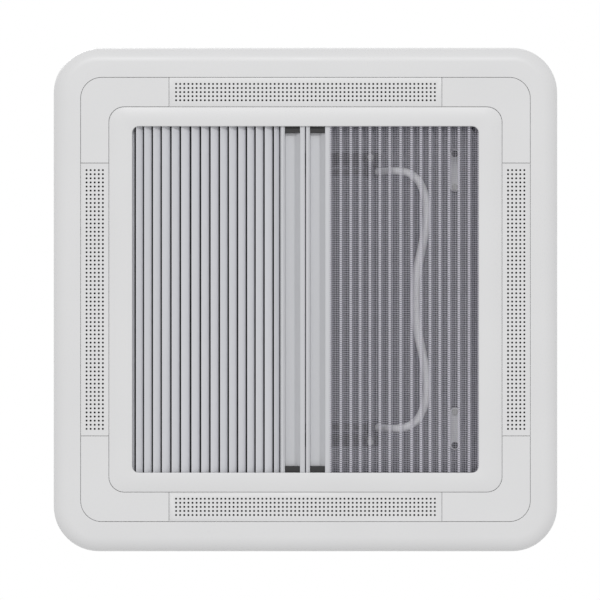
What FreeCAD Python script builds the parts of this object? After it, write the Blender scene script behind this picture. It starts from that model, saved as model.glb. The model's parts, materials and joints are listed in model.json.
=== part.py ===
import FreeCAD, Part

import math
import os
from types import SimpleNamespace

import Sketcher
from FreeCAD import Placement, Rotation, Vector

# Roof hatch for caravans and campers, closed, as it sits in a roof.
# The origin is the middle of the roof cut-out on the roof's outer face, and +Z points out of the roof.
# +X is the side that lifts, -X the hinge side, and the ceiling is below at -roof_thickness.

SIZES = {
    # The roof and its cut-out
    "roof_thickness": 34,
    "cutout_size": 400,
    "cutout_gap": 4,
    # Outer frame: flange on the roof, throat through it, coaming above it
    "flange_margin": 18,
    "flange_thickness": 4,
    "flange_corner": 40,
    "flange_bevel": 2,
    "throat_wall": 3,
    "throat_corner": 10,
    "throat_below_ceiling": 10,
    "coaming_height": 17,
    "coaming_lip": 10,
    "coaming_lip_thickness": 3,
    "gasket_width": 8,
    "gasket_height": 7,
    "seal_gap": 0.3,
    # Dome: outer skin, inner pane and the spacer that joins them
    "dome_overhang": 16,
    "dome_corner": 36,
    "dome_wall": 3,
    "skirt_depth": 14,
    "dome_rise": 52,
    "bulge_shoulder": 19,
    "bulge_corner": 72,
    "dome_slope": 40,
    "dome_edge_round": 18,
    "pane_wall": 2.5,
    "pane_gap": 1.5,
    "pane_rise": 10,
    "pane_shoulder": 37.5,
    "pane_plateau_corner": 30,
    "spacer_height": 2.2,
    "spacer_width": 8,
    # Dome hinge
    "hinge_setback": 10,
    "hinge_height": 14,
    "hinge_spacing": 260,
    "hinge_pin_radius": 2,
    "knuckle_radius": 5,
    "knuckle_width": 12,
    "lug_width": 6,
    "hinge_play": 0.3,
    "leaf_width": 34,
    "leaf_height": 15,
    "bracket_base_height": 2.5,
    # Bail: the bow handle and its side arms
    "slide_reach": 65,
    "pivot_drop": 6,
    "arm_y": 129,
    "arm_thickness": 6,
    "arm_half_height": 6,
    "arm_boss_radius": 9,
    "arm_boss_width": 8,
    "socket_radius": 6,
    "socket_length": 12,
    "pivot_pin_radius": 4,
    "running_play": 0.2,
    "grip_radius": 4,
    "grip_drop": 42,
    "grip_knee_reach": 23,
    "grip_knee_round": 12,
    "grip_lobe_x": 121,
    "grip_waist_x": 109.7,
    "grip_corner_round": 26,
    "grip_lobe_half": 79,
    "grip_waist_half": 28,
    "bracket_plate_length": 44,
    "bracket_plate_height": 16,
    "bracket_plate_thickness": 3,
    "bracket_boss_radius": 8,
    "bracket_boss_length": 40,
    "bracket_screw_spacing": 32,
    # Guide rails under the dome and the slides in them
    "rail_play": 4,
    "rail_web": 3,
    "rail_half_height": 8,
    "rail_flange": 13,
    "rail_flange_thickness": 2.5,
    "rail_end": 9,
    "slot_travel": 100,
    "notch_radius": 5,
    "notch_pitch": 45,
    "slide_pin_radius": 2.5,
    "slide_head_radius": 5,
    "slide_head_height": 1.7,
    "bush_radius": 4,
    "rail_pad_radius": 6.5,
    "rail_pad_inset": 12,
    # Swivel catches of the dome
    "catch_inset": 42,
    "catch_pivot_y": 113.5,
    "catch_reach": 33.7,
    "catch_radius": 4.5,
    "catch_thickness": 4.5,
    "catch_drop": 26.5,
    "catch_post_radius": 6,
    "catch_tip_radius": 3.4,
    "catch_tip_height": 1.2,
    "strike_ledge": 10,
    "strike_height": 8,
    "strike_width": 24,
    "strike_thickness": 3,
    "catch_play": 0.5,
    # Clamps that pull the frame down on to the roof
    "clamp_spacing": 220,
    "clamp_width": 26,
    "clamp_reach": 18,
    "clamp_thickness": 3.5,
    "clamp_leg": 12,
    # Screws, by the radius of their shanks
    "small_screw_radius": 1.6,
    "small_head_radius": 3.2,
    "small_head_height": 1.8,
    "screw_hole_play": 0.1,
    # Interior frame
    "ceiling_overlap": 50,
    "frame_corner": 45,
    "frame_depth": 28,
    "frame_roll": 15,
    "frame_wall": 2.5,
    "lip_round": 1,
    "rim_width_x": 27.5,
    "rim_width_y": 30.2,
    "ring_outer_corner": 21,
    "ring_width_x": 28.4,
    "ring_width_y": 29.6,
    "ring_inner_corner": 15,
    "insert_thickness": 2.4,
    "insert_gap": 0.45,
    "lip_reach": 16.8,
    "opening_corner": 6.5,
    "surround_joint": 0.1,
    "collar_gap": 2.5,
    "collar_height": 10,
    "frame_screw_hole": 2.25,
    "frame_screw_tube": 4.5,
    "frame_screw_inset": 25.4,
    # Vent grilles
    "grille_end": 6.71,
    "grille_rows_width": 17.4,
    "grille_slot_width": 1.8,
    "grille_pitch": 4.06,
    "grille_count": 64,
    "vent_window_margin": 5,
    # Blinds: tracks, pull bars and pleats
    "track_height": 14,
    "track_wall": 1.5,
    "track_depth": 12,
    "bar_width": 23.8,
    "bar_gap": 1,
    "bar_height": 10.6,
    "bar_play": 0.4,
    "bar_lip": 4,
    "bar_floor_width": 9.4,
    "bar_slope_width": 5.4,
    "bar_floor_thickness": 3.4,
    "bar_slope_height": 4,
    "bar_edge": 0.7,
    "bar_joint": 0.1,
    "plug_length": 8.6,
    "plug_height": 5.2,
    "shoe_height": 10.4,
    "pleat_side_gap": 2.2,
    "pleat_depth": 8.8,
    "pleat_sheet": 0.5,
    "blackout_faces": 35,
    "blackout_face_share": 0.78,
    "flyscreen_faces": 33,
    "flyscreen_face_share": 0.5,
    "soft_gap": 0.3,
}

doc = FreeCAD.newDocument("roof_hatch")
sheet = doc.addObject("Spreadsheet::Sheet", "Sizes")


class Size:
    """A length that knows its number and the sheet formula that gives it."""

    def __init__(self, formula, number):
        self.formula = formula
        self.number = number

    def __float__(self):
        return float(self.number)

    def __add__(self, other):
        other = as_size(other)
        return Size(f"({self.formula} + {other.formula})", self.number + other.number)

    __radd__ = __add__

    def __sub__(self, other):
        other = as_size(other)
        return Size(f"({self.formula} - {other.formula})", self.number - other.number)

    def __rsub__(self, other):
        return as_size(other) - self

    def __mul__(self, other):
        other = as_size(other)
        return Size(f"({self.formula} * {other.formula})", self.number * other.number)

    __rmul__ = __mul__

    def __truediv__(self, other):
        other = as_size(other)
        return Size(f"({self.formula} / {other.formula})", self.number / other.number)

    def __neg__(self):
        return self * -1


def as_size(value):
    """A plain number becomes a Size whose formula is that number."""
    return value if isinstance(value, Size) else Size(f"({value})", value)


def fill_sheet():
    """Writes each size and its name into the sheet, and returns them as named Sizes."""
    named = {}
    for row, (name, number) in enumerate(SIZES.items(), 1):
        sheet.set(f"A{row}", name)
        sheet.set(f"B{row}", str(number))
        sheet.setAlias(f"B{row}", name)
        named[name] = Size(f"Sizes.{name}", number)
    doc.recompute()
    return SimpleNamespace(**named)


S = fill_sheet()


def bind(thing, prop, size):
    """Ties a property of an object to the sheet."""
    thing.setExpression(prop, as_size(size).formula)


# Helpers for bodies, sketches and features


def new_body(name):
    body = doc.addObject("PartDesign::Body", name)
    body.AllowCompound = True
    return body


def origin_feature(body, role):
    return next(f for f in body.Origin.OriginFeatures if f.Role == role)


def sketch_on(body, role, offset=0):
    """A sketch on one of the body's own origin planes, moved along the plane's normal by offset."""
    sketch = body.newObject("Sketcher::SketchObject", "profile")
    sketch.AttachmentSupport = [(origin_feature(body, role), "")]
    sketch.MapMode = "FlatFace"
    bind(sketch, "AttachmentOffset.Base.z", offset)
    return sketch


def tie(sketch, kind, geometry, point, size):
    """Holds a point at a size from the origin, or gives a curve its radius."""
    size = as_size(size)
    if kind == "Radius":
        constraint = Sketcher.Constraint(kind, geometry, float(size))
    else:
        constraint = Sketcher.Constraint(kind, -1, 1, geometry, point, float(size))
    number = sketch.addConstraint(constraint)
    sketch.setExpression(f"Constraints[{number}]", size.formula)


def tie_point(sketch, geometry, point, x, y):
    tie(sketch, "DistanceX", geometry, point, x)
    tie(sketch, "DistanceY", geometry, point, y)


def flat(x, y):
    return Vector(float(x), float(y), 0)


def polygon(sketch, points):
    """A closed outline with each corner tied to the origin."""
    corners = [(as_size(x), as_size(y)) for x, y in points]
    first = sketch.GeometryCount
    for start, end in zip(corners, corners[1:] + corners[:1]):
        sketch.addGeometry(Part.LineSegment(flat(*start), flat(*end)))
    for i, (x, y) in enumerate(corners):
        before = first + (i - 1) % len(corners)
        sketch.addConstraint(Sketcher.Constraint("Coincident", before, 2, first + i, 1))
        tie_point(sketch, first + i, 1, x, y)


def rectangle(sketch, x1, y1, x2, y2):
    polygon(sketch, [(x1, y1), (x2, y1), (x2, y2), (x1, y2)])


def circle(sketch, x, y, radius):
    x, y, radius = as_size(x), as_size(y), as_size(radius)
    number = sketch.addGeometry(Part.Circle(flat(x, y), Vector(0, 0, 1), float(radius)))
    tie_point(sketch, number, 3, x, y)
    tie(sketch, "Radius", number, 3, radius)


def arc_chain(sketch, arcs):
    """Arcs given as (x, y, radius, start degrees, end degrees), joined in turn by tangent lines."""
    first = sketch.GeometryCount
    ends = []
    for x, y, radius, start, end in arcs:
        centre = flat(x, y)
        round_curve = Part.Circle(centre, Vector(0, 0, 1), float(radius))
        start, end = math.radians(start), math.radians(end)
        sketch.addGeometry(Part.ArcOfCircle(round_curve, start, end))
        ends.append([
            centre + float(radius) * Vector(math.cos(a), math.sin(a), 0) for a in (start, end)
        ])
    count = len(arcs)
    for i in range(count):
        sketch.addGeometry(Part.LineSegment(ends[i][1], ends[(i + 1) % count][0]))
    for i, (x, y, radius, _, _) in enumerate(arcs):
        line = first + count + i
        sketch.addConstraint(Sketcher.Constraint("Tangent", first + i, 2, line, 1))
        sketch.addConstraint(Sketcher.Constraint("Tangent", line, 2, first + (i + 1) % count, 1))
        tie_point(sketch, first + i, 3, x, y)
        tie(sketch, "Radius", first + i, 3, radius)


def rounded_rectangle(sketch, width, depth, corner):
    """A rectangle about the origin with round corners."""
    x = as_size(width) / 2 - corner
    y = as_size(depth) / 2 - corner
    arc_chain(sketch, [
        (x, -y, corner, -90, 0),
        (x, y, corner, 0, 90),
        (-x, y, corner, 90, 180),
        (-x, -y, corner, 180, 270),
    ])


def capsule(sketch, x1, y1, x2, y2, radius):
    """A bar with two round ends, from one point to another."""
    heading = math.degrees(math.atan2(float(y2) - float(y1), float(x2) - float(x1)))
    arc_chain(sketch, [
        (x1, y1, radius, heading + 90, heading + 270),
        (x2, y2, radius, heading - 90, heading + 90),
    ])


def pad(body, sketch, length, reverse=False):
    feature = body.newObject("PartDesign::Pad", "pad")
    feature.Profile = sketch
    feature.Reversed = reverse
    bind(feature, "Length", length)
    return feature


def pocket(body, sketch, length, reverse=False):
    """Cuts against the sketch's normal, or along it when reversed, and makes sure that it cut something."""
    doc.recompute()
    before = body.Shape.Volume
    feature = body.newObject("PartDesign::Pocket", "pocket")
    feature.Profile = sketch
    feature.Reversed = reverse
    bind(feature, "Length", length)
    doc.recompute()
    if body.Shape.Volume > before - 0.01:
        raise RuntimeError(f"a pocket in {body.Name} cuts nothing")
    return feature


def edges_of(body, chosen):
    """The last feature of the body, and those of its edges that chosen picks."""
    doc.recompute()
    names = [f"Edge{i}" for i, edge in enumerate(body.Tip.Shape.Edges, 1) if chosen(edge)]
    if not names:
        raise RuntimeError(f"no edge to work on in {body.Name}")
    return body.Tip, names


def round_edges(body, radius, chosen):
    base = edges_of(body, chosen)
    fillet = body.newObject("PartDesign::Fillet", "rounding")
    fillet.Base = base
    bind(fillet, "Radius", radius)
    return fillet


def bevel_edges(body, size, chosen):
    base = edges_of(body, chosen)
    chamfer = body.newObject("PartDesign::Chamfer", "bevel")
    chamfer.Base = base
    bind(chamfer, "Size", size)
    return chamfer


def level_edge(height, outside=0.0):
    """Picks edges that lie level at a height, no nearer the middle than outside."""

    def chosen(edge):
        box = edge.BoundBox
        level = abs(box.ZMin - float(height)) < 0.001 and abs(box.ZMax - float(height)) < 0.001
        middle = edge.valueAt((edge.FirstParameter + edge.LastParameter) / 2)
        return level and max(abs(middle.x), abs(middle.y)) > float(outside)

    return chosen


def upright_edge(x, y):
    """Picks the upright edge at a place."""

    def chosen(edge):
        box = edge.BoundBox
        across = max(box.XLength, box.YLength)
        near = abs(box.XMin - float(x)) < 0.01 and abs(box.YMin - float(y)) < 0.01
        return across < 0.001 and near

    return chosen


# Helpers for primitives, booleans and copies

TURNS = {
    "x": Rotation(Vector(0, 1, 0), 90),
    "y": Rotation(Vector(1, 0, 0), -90),
    "z": Rotation(),
}


def put(thing, x, y, z, turn=None):
    """Places a primitive, with its base point tied to the sheet."""
    if turn is not None:
        thing.Placement = Placement(Vector(), turn)
    for axis, size in zip("xyz", (x, y, z)):
        bind(thing, f"Placement.Base.{axis}", size)
    return thing


def cylinder(name, radius, length, x, y, z, axis="z"):
    """A cylinder that starts at a point and runs along an axis."""
    thing = doc.addObject("Part::Cylinder", name)
    bind(thing, "Radius", radius)
    bind(thing, "Height", length)
    return put(thing, x, y, z, TURNS[axis])


def block(name, x1, x2, y1, y2, z1, z2):
    thing = doc.addObject("Part::Box", name)
    bind(thing, "Length", as_size(x2) - x1)
    bind(thing, "Width", as_size(y2) - y1)
    bind(thing, "Height", as_size(z2) - z1)
    return put(thing, x1, y1, z1)


def fuse(name, *things):
    union = doc.addObject("Part::MultiFuse", name)
    union.Shapes = list(things)
    union.Refine = True
    return union


def cut(name, base, *tools):
    thing = doc.addObject("Part::Cut", name)
    thing.Base = base
    thing.Tool = tools[0] if len(tools) == 1 else fuse(f"{name}_tools", *tools)
    return thing


def group(name, things):
    """Separate like solids that share one node."""
    several = doc.addObject("Part::Compound", name)
    several.Links = list(things)
    return several


def mirrored(name, source, normal):
    twin = doc.addObject("Part::Mirroring", name)
    twin.Source = source
    twin.Normal = normal
    return twin


ACROSS_X = Vector(1, 0, 0)
ACROSS_Y = Vector(0, 1, 0)


def both_sides(name, source):
    """The source on the back side and its mirror image on the front side, as one group."""
    return group(name, [source, mirrored(f"{name}_front_half", source, ACROSS_Y)])


def screw(name, x, y, z, axis, sign, length, radius, head_radius, head_height):
    """A screw whose head seats at a point and whose shank runs along the axis from there."""
    start = {"x": x, "y": y, "z": z}
    shank_start = dict(start)
    head_start = dict(start)
    if sign > 0:
        head_start[axis] = as_size(start[axis]) - head_height
    else:
        shank_start[axis] = as_size(start[axis]) - length
    shank = cylinder(f"{name}_shank", radius, length, *shank_start.values(), axis)
    head = cylinder(f"{name}_head", head_radius, head_height, *head_start.values(), axis)
    return fuse(name, shank, head)


def small_screw(name, x, y, z, axis, sign, length):
    radii = (S.small_screw_radius, S.small_head_radius)
    return screw(name, x, y, z, axis, sign, length, *radii, S.small_head_height)


NODES = []


def node(thing, label):
    """Names a finished sub-part and puts it on the list that is written out."""
    thing.Label = label
    NODES.append(thing)
    return thing


# Places that several pieces share

ceiling_z = -S.roof_thickness
face_z = ceiling_z - S.frame_depth
frame_size = S.cutout_size + 2 * S.ceiling_overlap
throat_outer = S.cutout_size - 2 * S.cutout_gap
throat_inner = throat_outer - 2 * S.throat_wall
throat_inner_corner = S.throat_corner - S.throat_wall
throat_bottom = ceiling_z - S.throat_below_ceiling
lip_size = throat_outer + 2 * S.coaming_lip
lip_corner = S.throat_corner + S.coaming_lip
seat_z = S.coaming_height + S.gasket_height + S.seal_gap
skirt_z = seat_z - S.skirt_depth
dome_size = lip_size + 2 * S.dome_overhang
flange_size = dome_size + 2 * S.flange_margin
dome_inner = dome_size - 2 * S.dome_wall
dome_inner_corner = S.dome_corner - S.dome_wall
pane_size = dome_inner - 2 * S.pane_gap
pane_corner = dome_inner_corner - S.pane_gap
plateau_size = pane_size - 2 * S.pane_shoulder
pane_top = seat_z + S.pane_wall
shoulder_z = pane_top + S.spacer_height
plateau_z = seat_z + S.pane_rise
hinge_reach = dome_size / 2 + S.hinge_setback
slot_z = S.hinge_height
slot_half_height = S.bush_radius + S.running_play
pivot_x = (S.slide_reach - hinge_reach) / 2
pivot_z = slot_z - S.pivot_drop
rail_y = S.arm_y + S.arm_thickness / 2 + S.rail_play
rail_right = S.slide_reach + slot_half_height + S.rail_end
rail_left = S.slide_reach - S.slot_travel - slot_half_height - S.rail_end
rail_top = slot_z + S.rail_half_height
rail_screw_y = rail_y + S.rail_flange - S.small_head_radius - S.rail_flange_thickness / 2
screw_hole = S.small_screw_radius + S.screw_hole_play
catch_x = throat_inner / 2 - S.catch_inset
lever_top = plateau_z - S.catch_drop
lever_bottom = lever_top - S.catch_thickness
recess_z = face_z + S.insert_thickness
floor_top = recess_z + S.frame_wall
lip_top = recess_z
ring_outer_x = frame_size - 2 * S.rim_width_x
ring_outer_y = frame_size - 2 * S.rim_width_y
ring_inner_x = ring_outer_x - 2 * S.ring_width_x
ring_inner_y = ring_outer_y - 2 * S.ring_width_y
grille_length = (S.grille_count - 1) * S.grille_pitch + 2 * S.grille_end
frame_screw_spacing = grille_length + 2 * S.frame_screw_inset
cassette_half = throat_inner / 2 - S.collar_gap - S.frame_wall
opening_size = 2 * (cassette_half - S.lip_reach)
collar_half = cassette_half + S.frame_wall
track_top = lip_top + S.track_height
track_web = cassette_half - S.soft_gap
track_open = track_web - S.track_depth
bar_low = lip_top + S.bar_play
bar_high = bar_low + S.bar_height
bar_floor = bar_high - S.bar_floor_thickness
shoe_low = lip_top + S.track_height / 2 - S.shoe_height / 2
shoe_high = shoe_low + S.shoe_height
pleat_low = bar_low + S.soft_gap
pleat_high = pleat_low + S.pleat_depth
pleat_end = track_web - S.track_wall - S.soft_gap
pleat_half_width = track_open - S.pleat_side_gap


# Outer frame


def ring_sketch(body, height, outer, outer_corner, inner, inner_corner):
    """Two rounded squares, one in the other, given as sizes or as (x size, y size)."""
    sketch = sketch_on(body, "XY_Plane", height)
    for size, corner in ((outer, outer_corner), (inner, inner_corner)):
        width, depth = size if isinstance(size, tuple) else (size, size)
        rounded_rectangle(sketch, width, depth, corner)
    return sketch


def square_sketch(body, height, size, corner):
    sketch = sketch_on(body, "XY_Plane", height)
    rounded_rectangle(sketch, size, size, corner)
    return sketch


def outer_frame():
    body = new_body("outer_frame")
    pad(body, square_sketch(body, 0, flange_size, S.flange_corner), S.flange_thickness)
    inside_edge = throat_outer / 2 + 1
    bevel_edges(body, S.flange_bevel, level_edge(S.flange_thickness, inside_edge))
    throat = square_sketch(body, throat_bottom, throat_outer, S.throat_corner)
    pad(body, throat, S.coaming_height - throat_bottom)
    lip = square_sketch(body, S.coaming_height, lip_size, lip_corner)
    pad(body, lip, S.coaming_lip_thickness, reverse=True)
    passage = square_sketch(body, S.coaming_height, throat_inner, throat_inner_corner)
    pocket(body, passage, S.coaming_height - throat_bottom)
    for role, reach in (("YZ_Plane", throat_outer / 2), ("XZ_Plane", throat_outer / 2)):
        holes = sketch_on(body, role, -reach)
        for side in (-1, 1):
            circle(holes, side * S.clamp_spacing / 2, clamp_screw_z(), screw_hole)
        pocket(body, holes, throat_outer, reverse=True)
    fixings = sketch_on(body, "XZ_Plane", -throat_outer / 2)
    for side in (-1, 1):
        x = pivot_x + side * S.bracket_screw_spacing / 2
        circle(fixings, x, bracket_plate_z(), screw_hole)
    pocket(body, fixings, throat_outer, reverse=True)
    return node(body, "outer_frame")


def clamp_screw_z():
    """Clamp screws cross the throat half way down the part that hangs below the ceiling."""
    return ceiling_z - S.throat_below_ceiling * 0.6


def bracket_plate_z():
    return pivot_z


def dome_gasket():
    body = new_body("dome_gasket")
    outer = lip_size - 2 * S.frame_wall
    inner = outer - 2 * S.gasket_width
    corner = lip_corner - S.frame_wall
    shape = ring_sketch(body, S.coaming_height, outer, corner, inner, corner - S.gasket_width)
    pad(body, shape, S.gasket_height)
    top = S.coaming_height + S.gasket_height
    bevel_edges(body, S.gasket_height / 3, level_edge(top))
    return node(body, "dome_gasket")


# Dome


def bulge_sketch(body, height, inset):
    """The foot of the dome's bulge, or of its inside when inset by the wall."""
    size = dome_size - 2 * (S.bulge_shoulder + inset)
    return square_sketch(body, height, size, S.bulge_corner - inset)


def outer_dome():
    body = new_body("outer_dome")
    skirt_top = shoulder_z + S.dome_wall
    pad(body, square_sketch(body, skirt_z, dome_size, S.dome_corner), skirt_top - skirt_z)
    round_edges(body, S.dome_wall, level_edge(skirt_top))
    bulge = pad(body, bulge_sketch(body, skirt_top, as_size(0)), S.dome_rise)
    bind(bulge, "TaperAngle", -S.dome_slope)
    round_edges(body, S.dome_edge_round, level_edge(skirt_top + S.dome_rise))
    hollow = square_sketch(body, skirt_z, dome_inner, dome_inner_corner)
    pocket(body, hollow, shoulder_z - skirt_z, reverse=True)
    inside = pocket(body, bulge_sketch(body, shoulder_z, S.dome_wall), S.dome_rise, reverse=True)
    bind(inside, "TaperAngle", -S.dome_slope)
    inside_round = S.dome_edge_round - S.dome_wall
    round_edges(body, inside_round, level_edge(shoulder_z + S.dome_rise))
    return node(body, "outer_dome")


def inner_pane():
    body = new_body("inner_pane")
    pad(body, square_sketch(body, seat_z, pane_size, pane_corner), S.pane_wall)
    outer = plateau_size + 2 * S.pane_wall
    outer_corner = S.pane_plateau_corner + S.pane_wall
    pad(body, square_sketch(body, seat_z, outer, outer_corner), S.pane_rise + S.pane_wall)
    top = plateau_z + S.pane_wall
    bevel_edges(body, S.pane_wall, level_edge(top))
    hollow = square_sketch(body, seat_z, plateau_size, S.pane_plateau_corner)
    pocket(body, hollow, S.pane_rise, reverse=True)
    bevel_edges(body, S.pane_wall, level_edge(plateau_z))
    return node(body, "inner_pane")


def pane_spacer():
    body = new_body("pane_spacer")
    outer = pane_size
    inner = outer - 2 * S.spacer_width
    corner = pane_corner
    shape = ring_sketch(body, pane_top, outer, corner, inner, corner - S.spacer_width)
    pad(body, shape, S.spacer_height)
    return node(body, "pane_spacer")


# Dome hinge


def hinge_brackets():
    """Frame halves: a foot on the flange with two lugs that hold the pin."""
    x = -hinge_reach
    knuckle_half = S.knuckle_width / 2 + S.hinge_play
    outside = knuckle_half + S.lug_width
    foot_back = x - S.knuckle_radius
    foot_front = -dome_size / 2 - S.hinge_play
    foot_top = S.flange_thickness + S.bracket_base_height
    lug = new_body("hinge_lug")
    shape = sketch_on(lug, "XZ_Plane", -(S.hinge_spacing / 2 + outside))
    arc_chain(shape, [
        (x, S.hinge_height, S.knuckle_radius, 0, 180),
        (foot_back + S.hinge_play, S.flange_thickness + S.hinge_play, S.hinge_play, 180, 270),
        (x + S.knuckle_radius - S.hinge_play, S.flange_thickness + S.hinge_play, S.hinge_play, 270, 360),
    ])
    pad(lug, shape, 2 * outside)
    middle = S.hinge_spacing / 2
    foot = block("hinge_foot", foot_back, foot_front, middle - outside, middle + outside,
                 S.flange_thickness, foot_top)
    gap = block("hinge_gap", foot_back - 1, foot_front, middle - knuckle_half, middle + knuckle_half,
                foot_top, S.hinge_height + 2 * S.knuckle_radius)
    bore = cylinder("hinge_bore", S.hinge_pin_radius + S.screw_hole_play / 2, 2 * outside + 2,
                    x, middle - outside - 1, S.hinge_height, "y")
    bracket = cut("hinge_bracket", fuse("hinge_bracket_solid", lug, foot), gap, bore)
    return node(both_sides("hinge_brackets", bracket), "hinge_brackets")


def hinge_pins():
    outside = S.knuckle_width / 2 + S.hinge_play + S.lug_width
    middle = S.hinge_spacing / 2
    pin = cylinder("hinge_pin", S.hinge_pin_radius, 2 * outside,
                   -hinge_reach, middle - outside, S.hinge_height, "y")
    return node(both_sides("hinge_pins", pin), "hinge_pins")


def hinge_leaves():
    """Dome halves: a knuckle on the pin and a plate on the outside of the dome's skirt."""
    x = -hinge_reach
    skirt_x = -dome_size / 2
    middle = S.hinge_spacing / 2
    plate_low = skirt_z + S.hinge_play
    plate_back = x + S.knuckle_radius + 2 * S.hinge_play
    knuckle = cylinder("leaf_knuckle", S.knuckle_radius, S.knuckle_width,
                       x, middle - S.knuckle_width / 2, S.hinge_height, "y")
    half_web = S.knuckle_radius - 2
    web = block("leaf_web", x, skirt_x, middle - S.knuckle_width / 2, middle + S.knuckle_width / 2,
                S.hinge_height - half_web, S.hinge_height + half_web)
    plate = block("leaf_plate", plate_back, skirt_x, middle - S.leaf_width / 2,
                  middle + S.leaf_width / 2, plate_low, plate_low + S.leaf_height)
    bore = cylinder("leaf_bore", S.hinge_pin_radius + S.running_play, S.knuckle_width + 2,
                    x, middle - S.knuckle_width / 2 - 1, S.hinge_height, "y")
    leaf = cut("hinge_leaf", fuse("hinge_leaf_solid", knuckle, web, plate), bore)
    return node(both_sides("hinge_leaves", leaf), "hinge_leaves")


# Bail: brackets on the throat wall, arms, grip and slides


def bail_brackets():
    wall = throat_inner / 2
    plate_y = wall - S.bracket_plate_thickness
    plate = block("bail_plate", pivot_x - S.bracket_plate_length / 2,
                  pivot_x + S.bracket_plate_length / 2, plate_y, wall,
                  bracket_plate_z() - S.bracket_plate_height / 2,
                  bracket_plate_z() + S.bracket_plate_height / 2)
    boss = cylinder("bail_boss", S.bracket_boss_radius, S.bracket_boss_length,
                    pivot_x, plate_y - S.bracket_boss_length, pivot_z, "y")
    bore = cylinder("bail_boss_bore", S.pivot_pin_radius + S.screw_hole_play / 2, S.bracket_boss_length,
                    pivot_x, plate_y - S.bracket_boss_length, pivot_z, "y")
    holes = []
    for side in (-1, 1):
        x = pivot_x + side * S.bracket_screw_spacing / 2
        holes.append(cylinder("bail_plate_hole", screw_hole, 2 * S.bracket_plate_thickness,
                              x, plate_y - S.bracket_plate_thickness / 2, bracket_plate_z(), "y"))
    bracket = cut("bail_bracket", fuse("bail_bracket_solid", plate, boss), bore, *holes)
    return node(both_sides("bail_brackets", bracket), "bail_brackets")


def bail_bracket_screws():
    plate_y = throat_inner / 2 - S.bracket_plate_thickness
    length = S.bracket_plate_thickness + S.throat_wall
    screws = []
    for side in (-1, 1):
        x = pivot_x + side * S.bracket_screw_spacing / 2
        screws.append(small_screw("bail_bracket_screw", x, plate_y, bracket_plate_z(), "y", 1, length))
    return node(both_sides("bail_bracket_screws", group("bail_bracket_screw_pair", screws)),
                "bail_bracket_screws")


def bail_pins():
    """Stub pins in the wall brackets, with a head that keeps the arm on."""
    plate_y = throat_inner / 2 - S.bracket_plate_thickness
    arm_inside = S.arm_y - S.arm_boss_width / 2 - S.running_play
    shank = cylinder("bail_pin_shank", S.pivot_pin_radius, plate_y - arm_inside,
                     pivot_x, arm_inside, pivot_z, "y")
    head = cylinder("bail_pin_head", S.pivot_pin_radius + 2, S.slide_head_height,
                    pivot_x, arm_inside - S.slide_head_height, pivot_z, "y")
    return node(both_sides("bail_pins", fuse("bail_pin", shank, head)), "bail_pins")


def drop_direction():
    """The way the grip's legs run down from the slides, in the XZ plane."""
    across, down = float(S.grip_knee_reach), float(S.grip_drop)
    return Vector(across, 0, -down).normalize()


def bail_arms():
    """Flat arms from the pivot to the slide, each with a socket for the grip's leg."""
    y = -(S.arm_y + S.arm_thickness / 2)
    arm = new_body("bail_arm_bar")
    shape = sketch_on(arm, "XZ_Plane", y)
    capsule(shape, pivot_x, pivot_z, S.slide_reach, slot_z, S.arm_half_height)
    pad(arm, shape, S.arm_thickness)
    boss = cylinder("bail_arm_boss", S.arm_boss_radius, S.arm_boss_width,
                    pivot_x, S.arm_y - S.arm_boss_width / 2, pivot_z, "y")
    way = drop_direction()
    turn = Rotation(Vector(0, 0, 1), way)
    socket = doc.addObject("Part::Cylinder", "bail_socket")
    bind(socket, "Radius", S.socket_radius)
    bind(socket, "Height", S.socket_length + S.arm_half_height)
    put(socket, S.slide_reach, S.arm_y, slot_z, turn)
    hollow = doc.addObject("Part::Cylinder", "bail_socket_bore")
    bind(hollow, "Radius", S.grip_radius + S.screw_hole_play)
    bind(hollow, "Height", S.socket_length)
    start = way * float(S.arm_half_height)
    put(hollow, S.slide_reach + start.x, S.arm_y, slot_z + start.z, turn)
    pivot_bore = cylinder("bail_arm_bore", S.pivot_pin_radius + S.running_play, S.arm_boss_width + 2,
                          pivot_x, S.arm_y - S.arm_boss_width / 2 - 1, pivot_z, "y")
    slide_bore = cylinder("bail_slide_bore", S.slide_pin_radius + S.screw_hole_play / 2,
                          S.arm_thickness + 2 * S.socket_radius,
                          S.slide_reach, S.arm_y - S.socket_radius, slot_z, "y")
    cheek = S.arm_y + S.arm_thickness / 2
    face = block("bail_socket_trim", S.slide_reach - 3 * S.socket_radius,
                 S.slide_reach + 3 * S.socket_radius, cheek, cheek + S.socket_radius,
                 slot_z - S.arm_half_height, slot_z + 2 * S.socket_radius)
    solid = fuse("bail_arm_solid", arm, boss, socket)
    one = cut("bail_arm", solid, pivot_bore, slide_bore, hollow, face)
    return node(both_sides("bail_arms", one), "bail_arms")


def fillet_arc(before, corner, after, radius):
    """The arc of a radius that rounds a corner, with the points where it starts and ends."""
    into = (before - corner).normalize()
    out = (after - corner).normalize()
    half = into.getAngle(out) / 2
    reach = radius / math.tan(half)
    middle = (into + out).normalize() * (radius / math.sin(half) - radius)
    start, end = corner + into * reach, corner + out * reach
    return start, end, Part.Arc(start, corner + middle, end).toShape()


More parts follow.
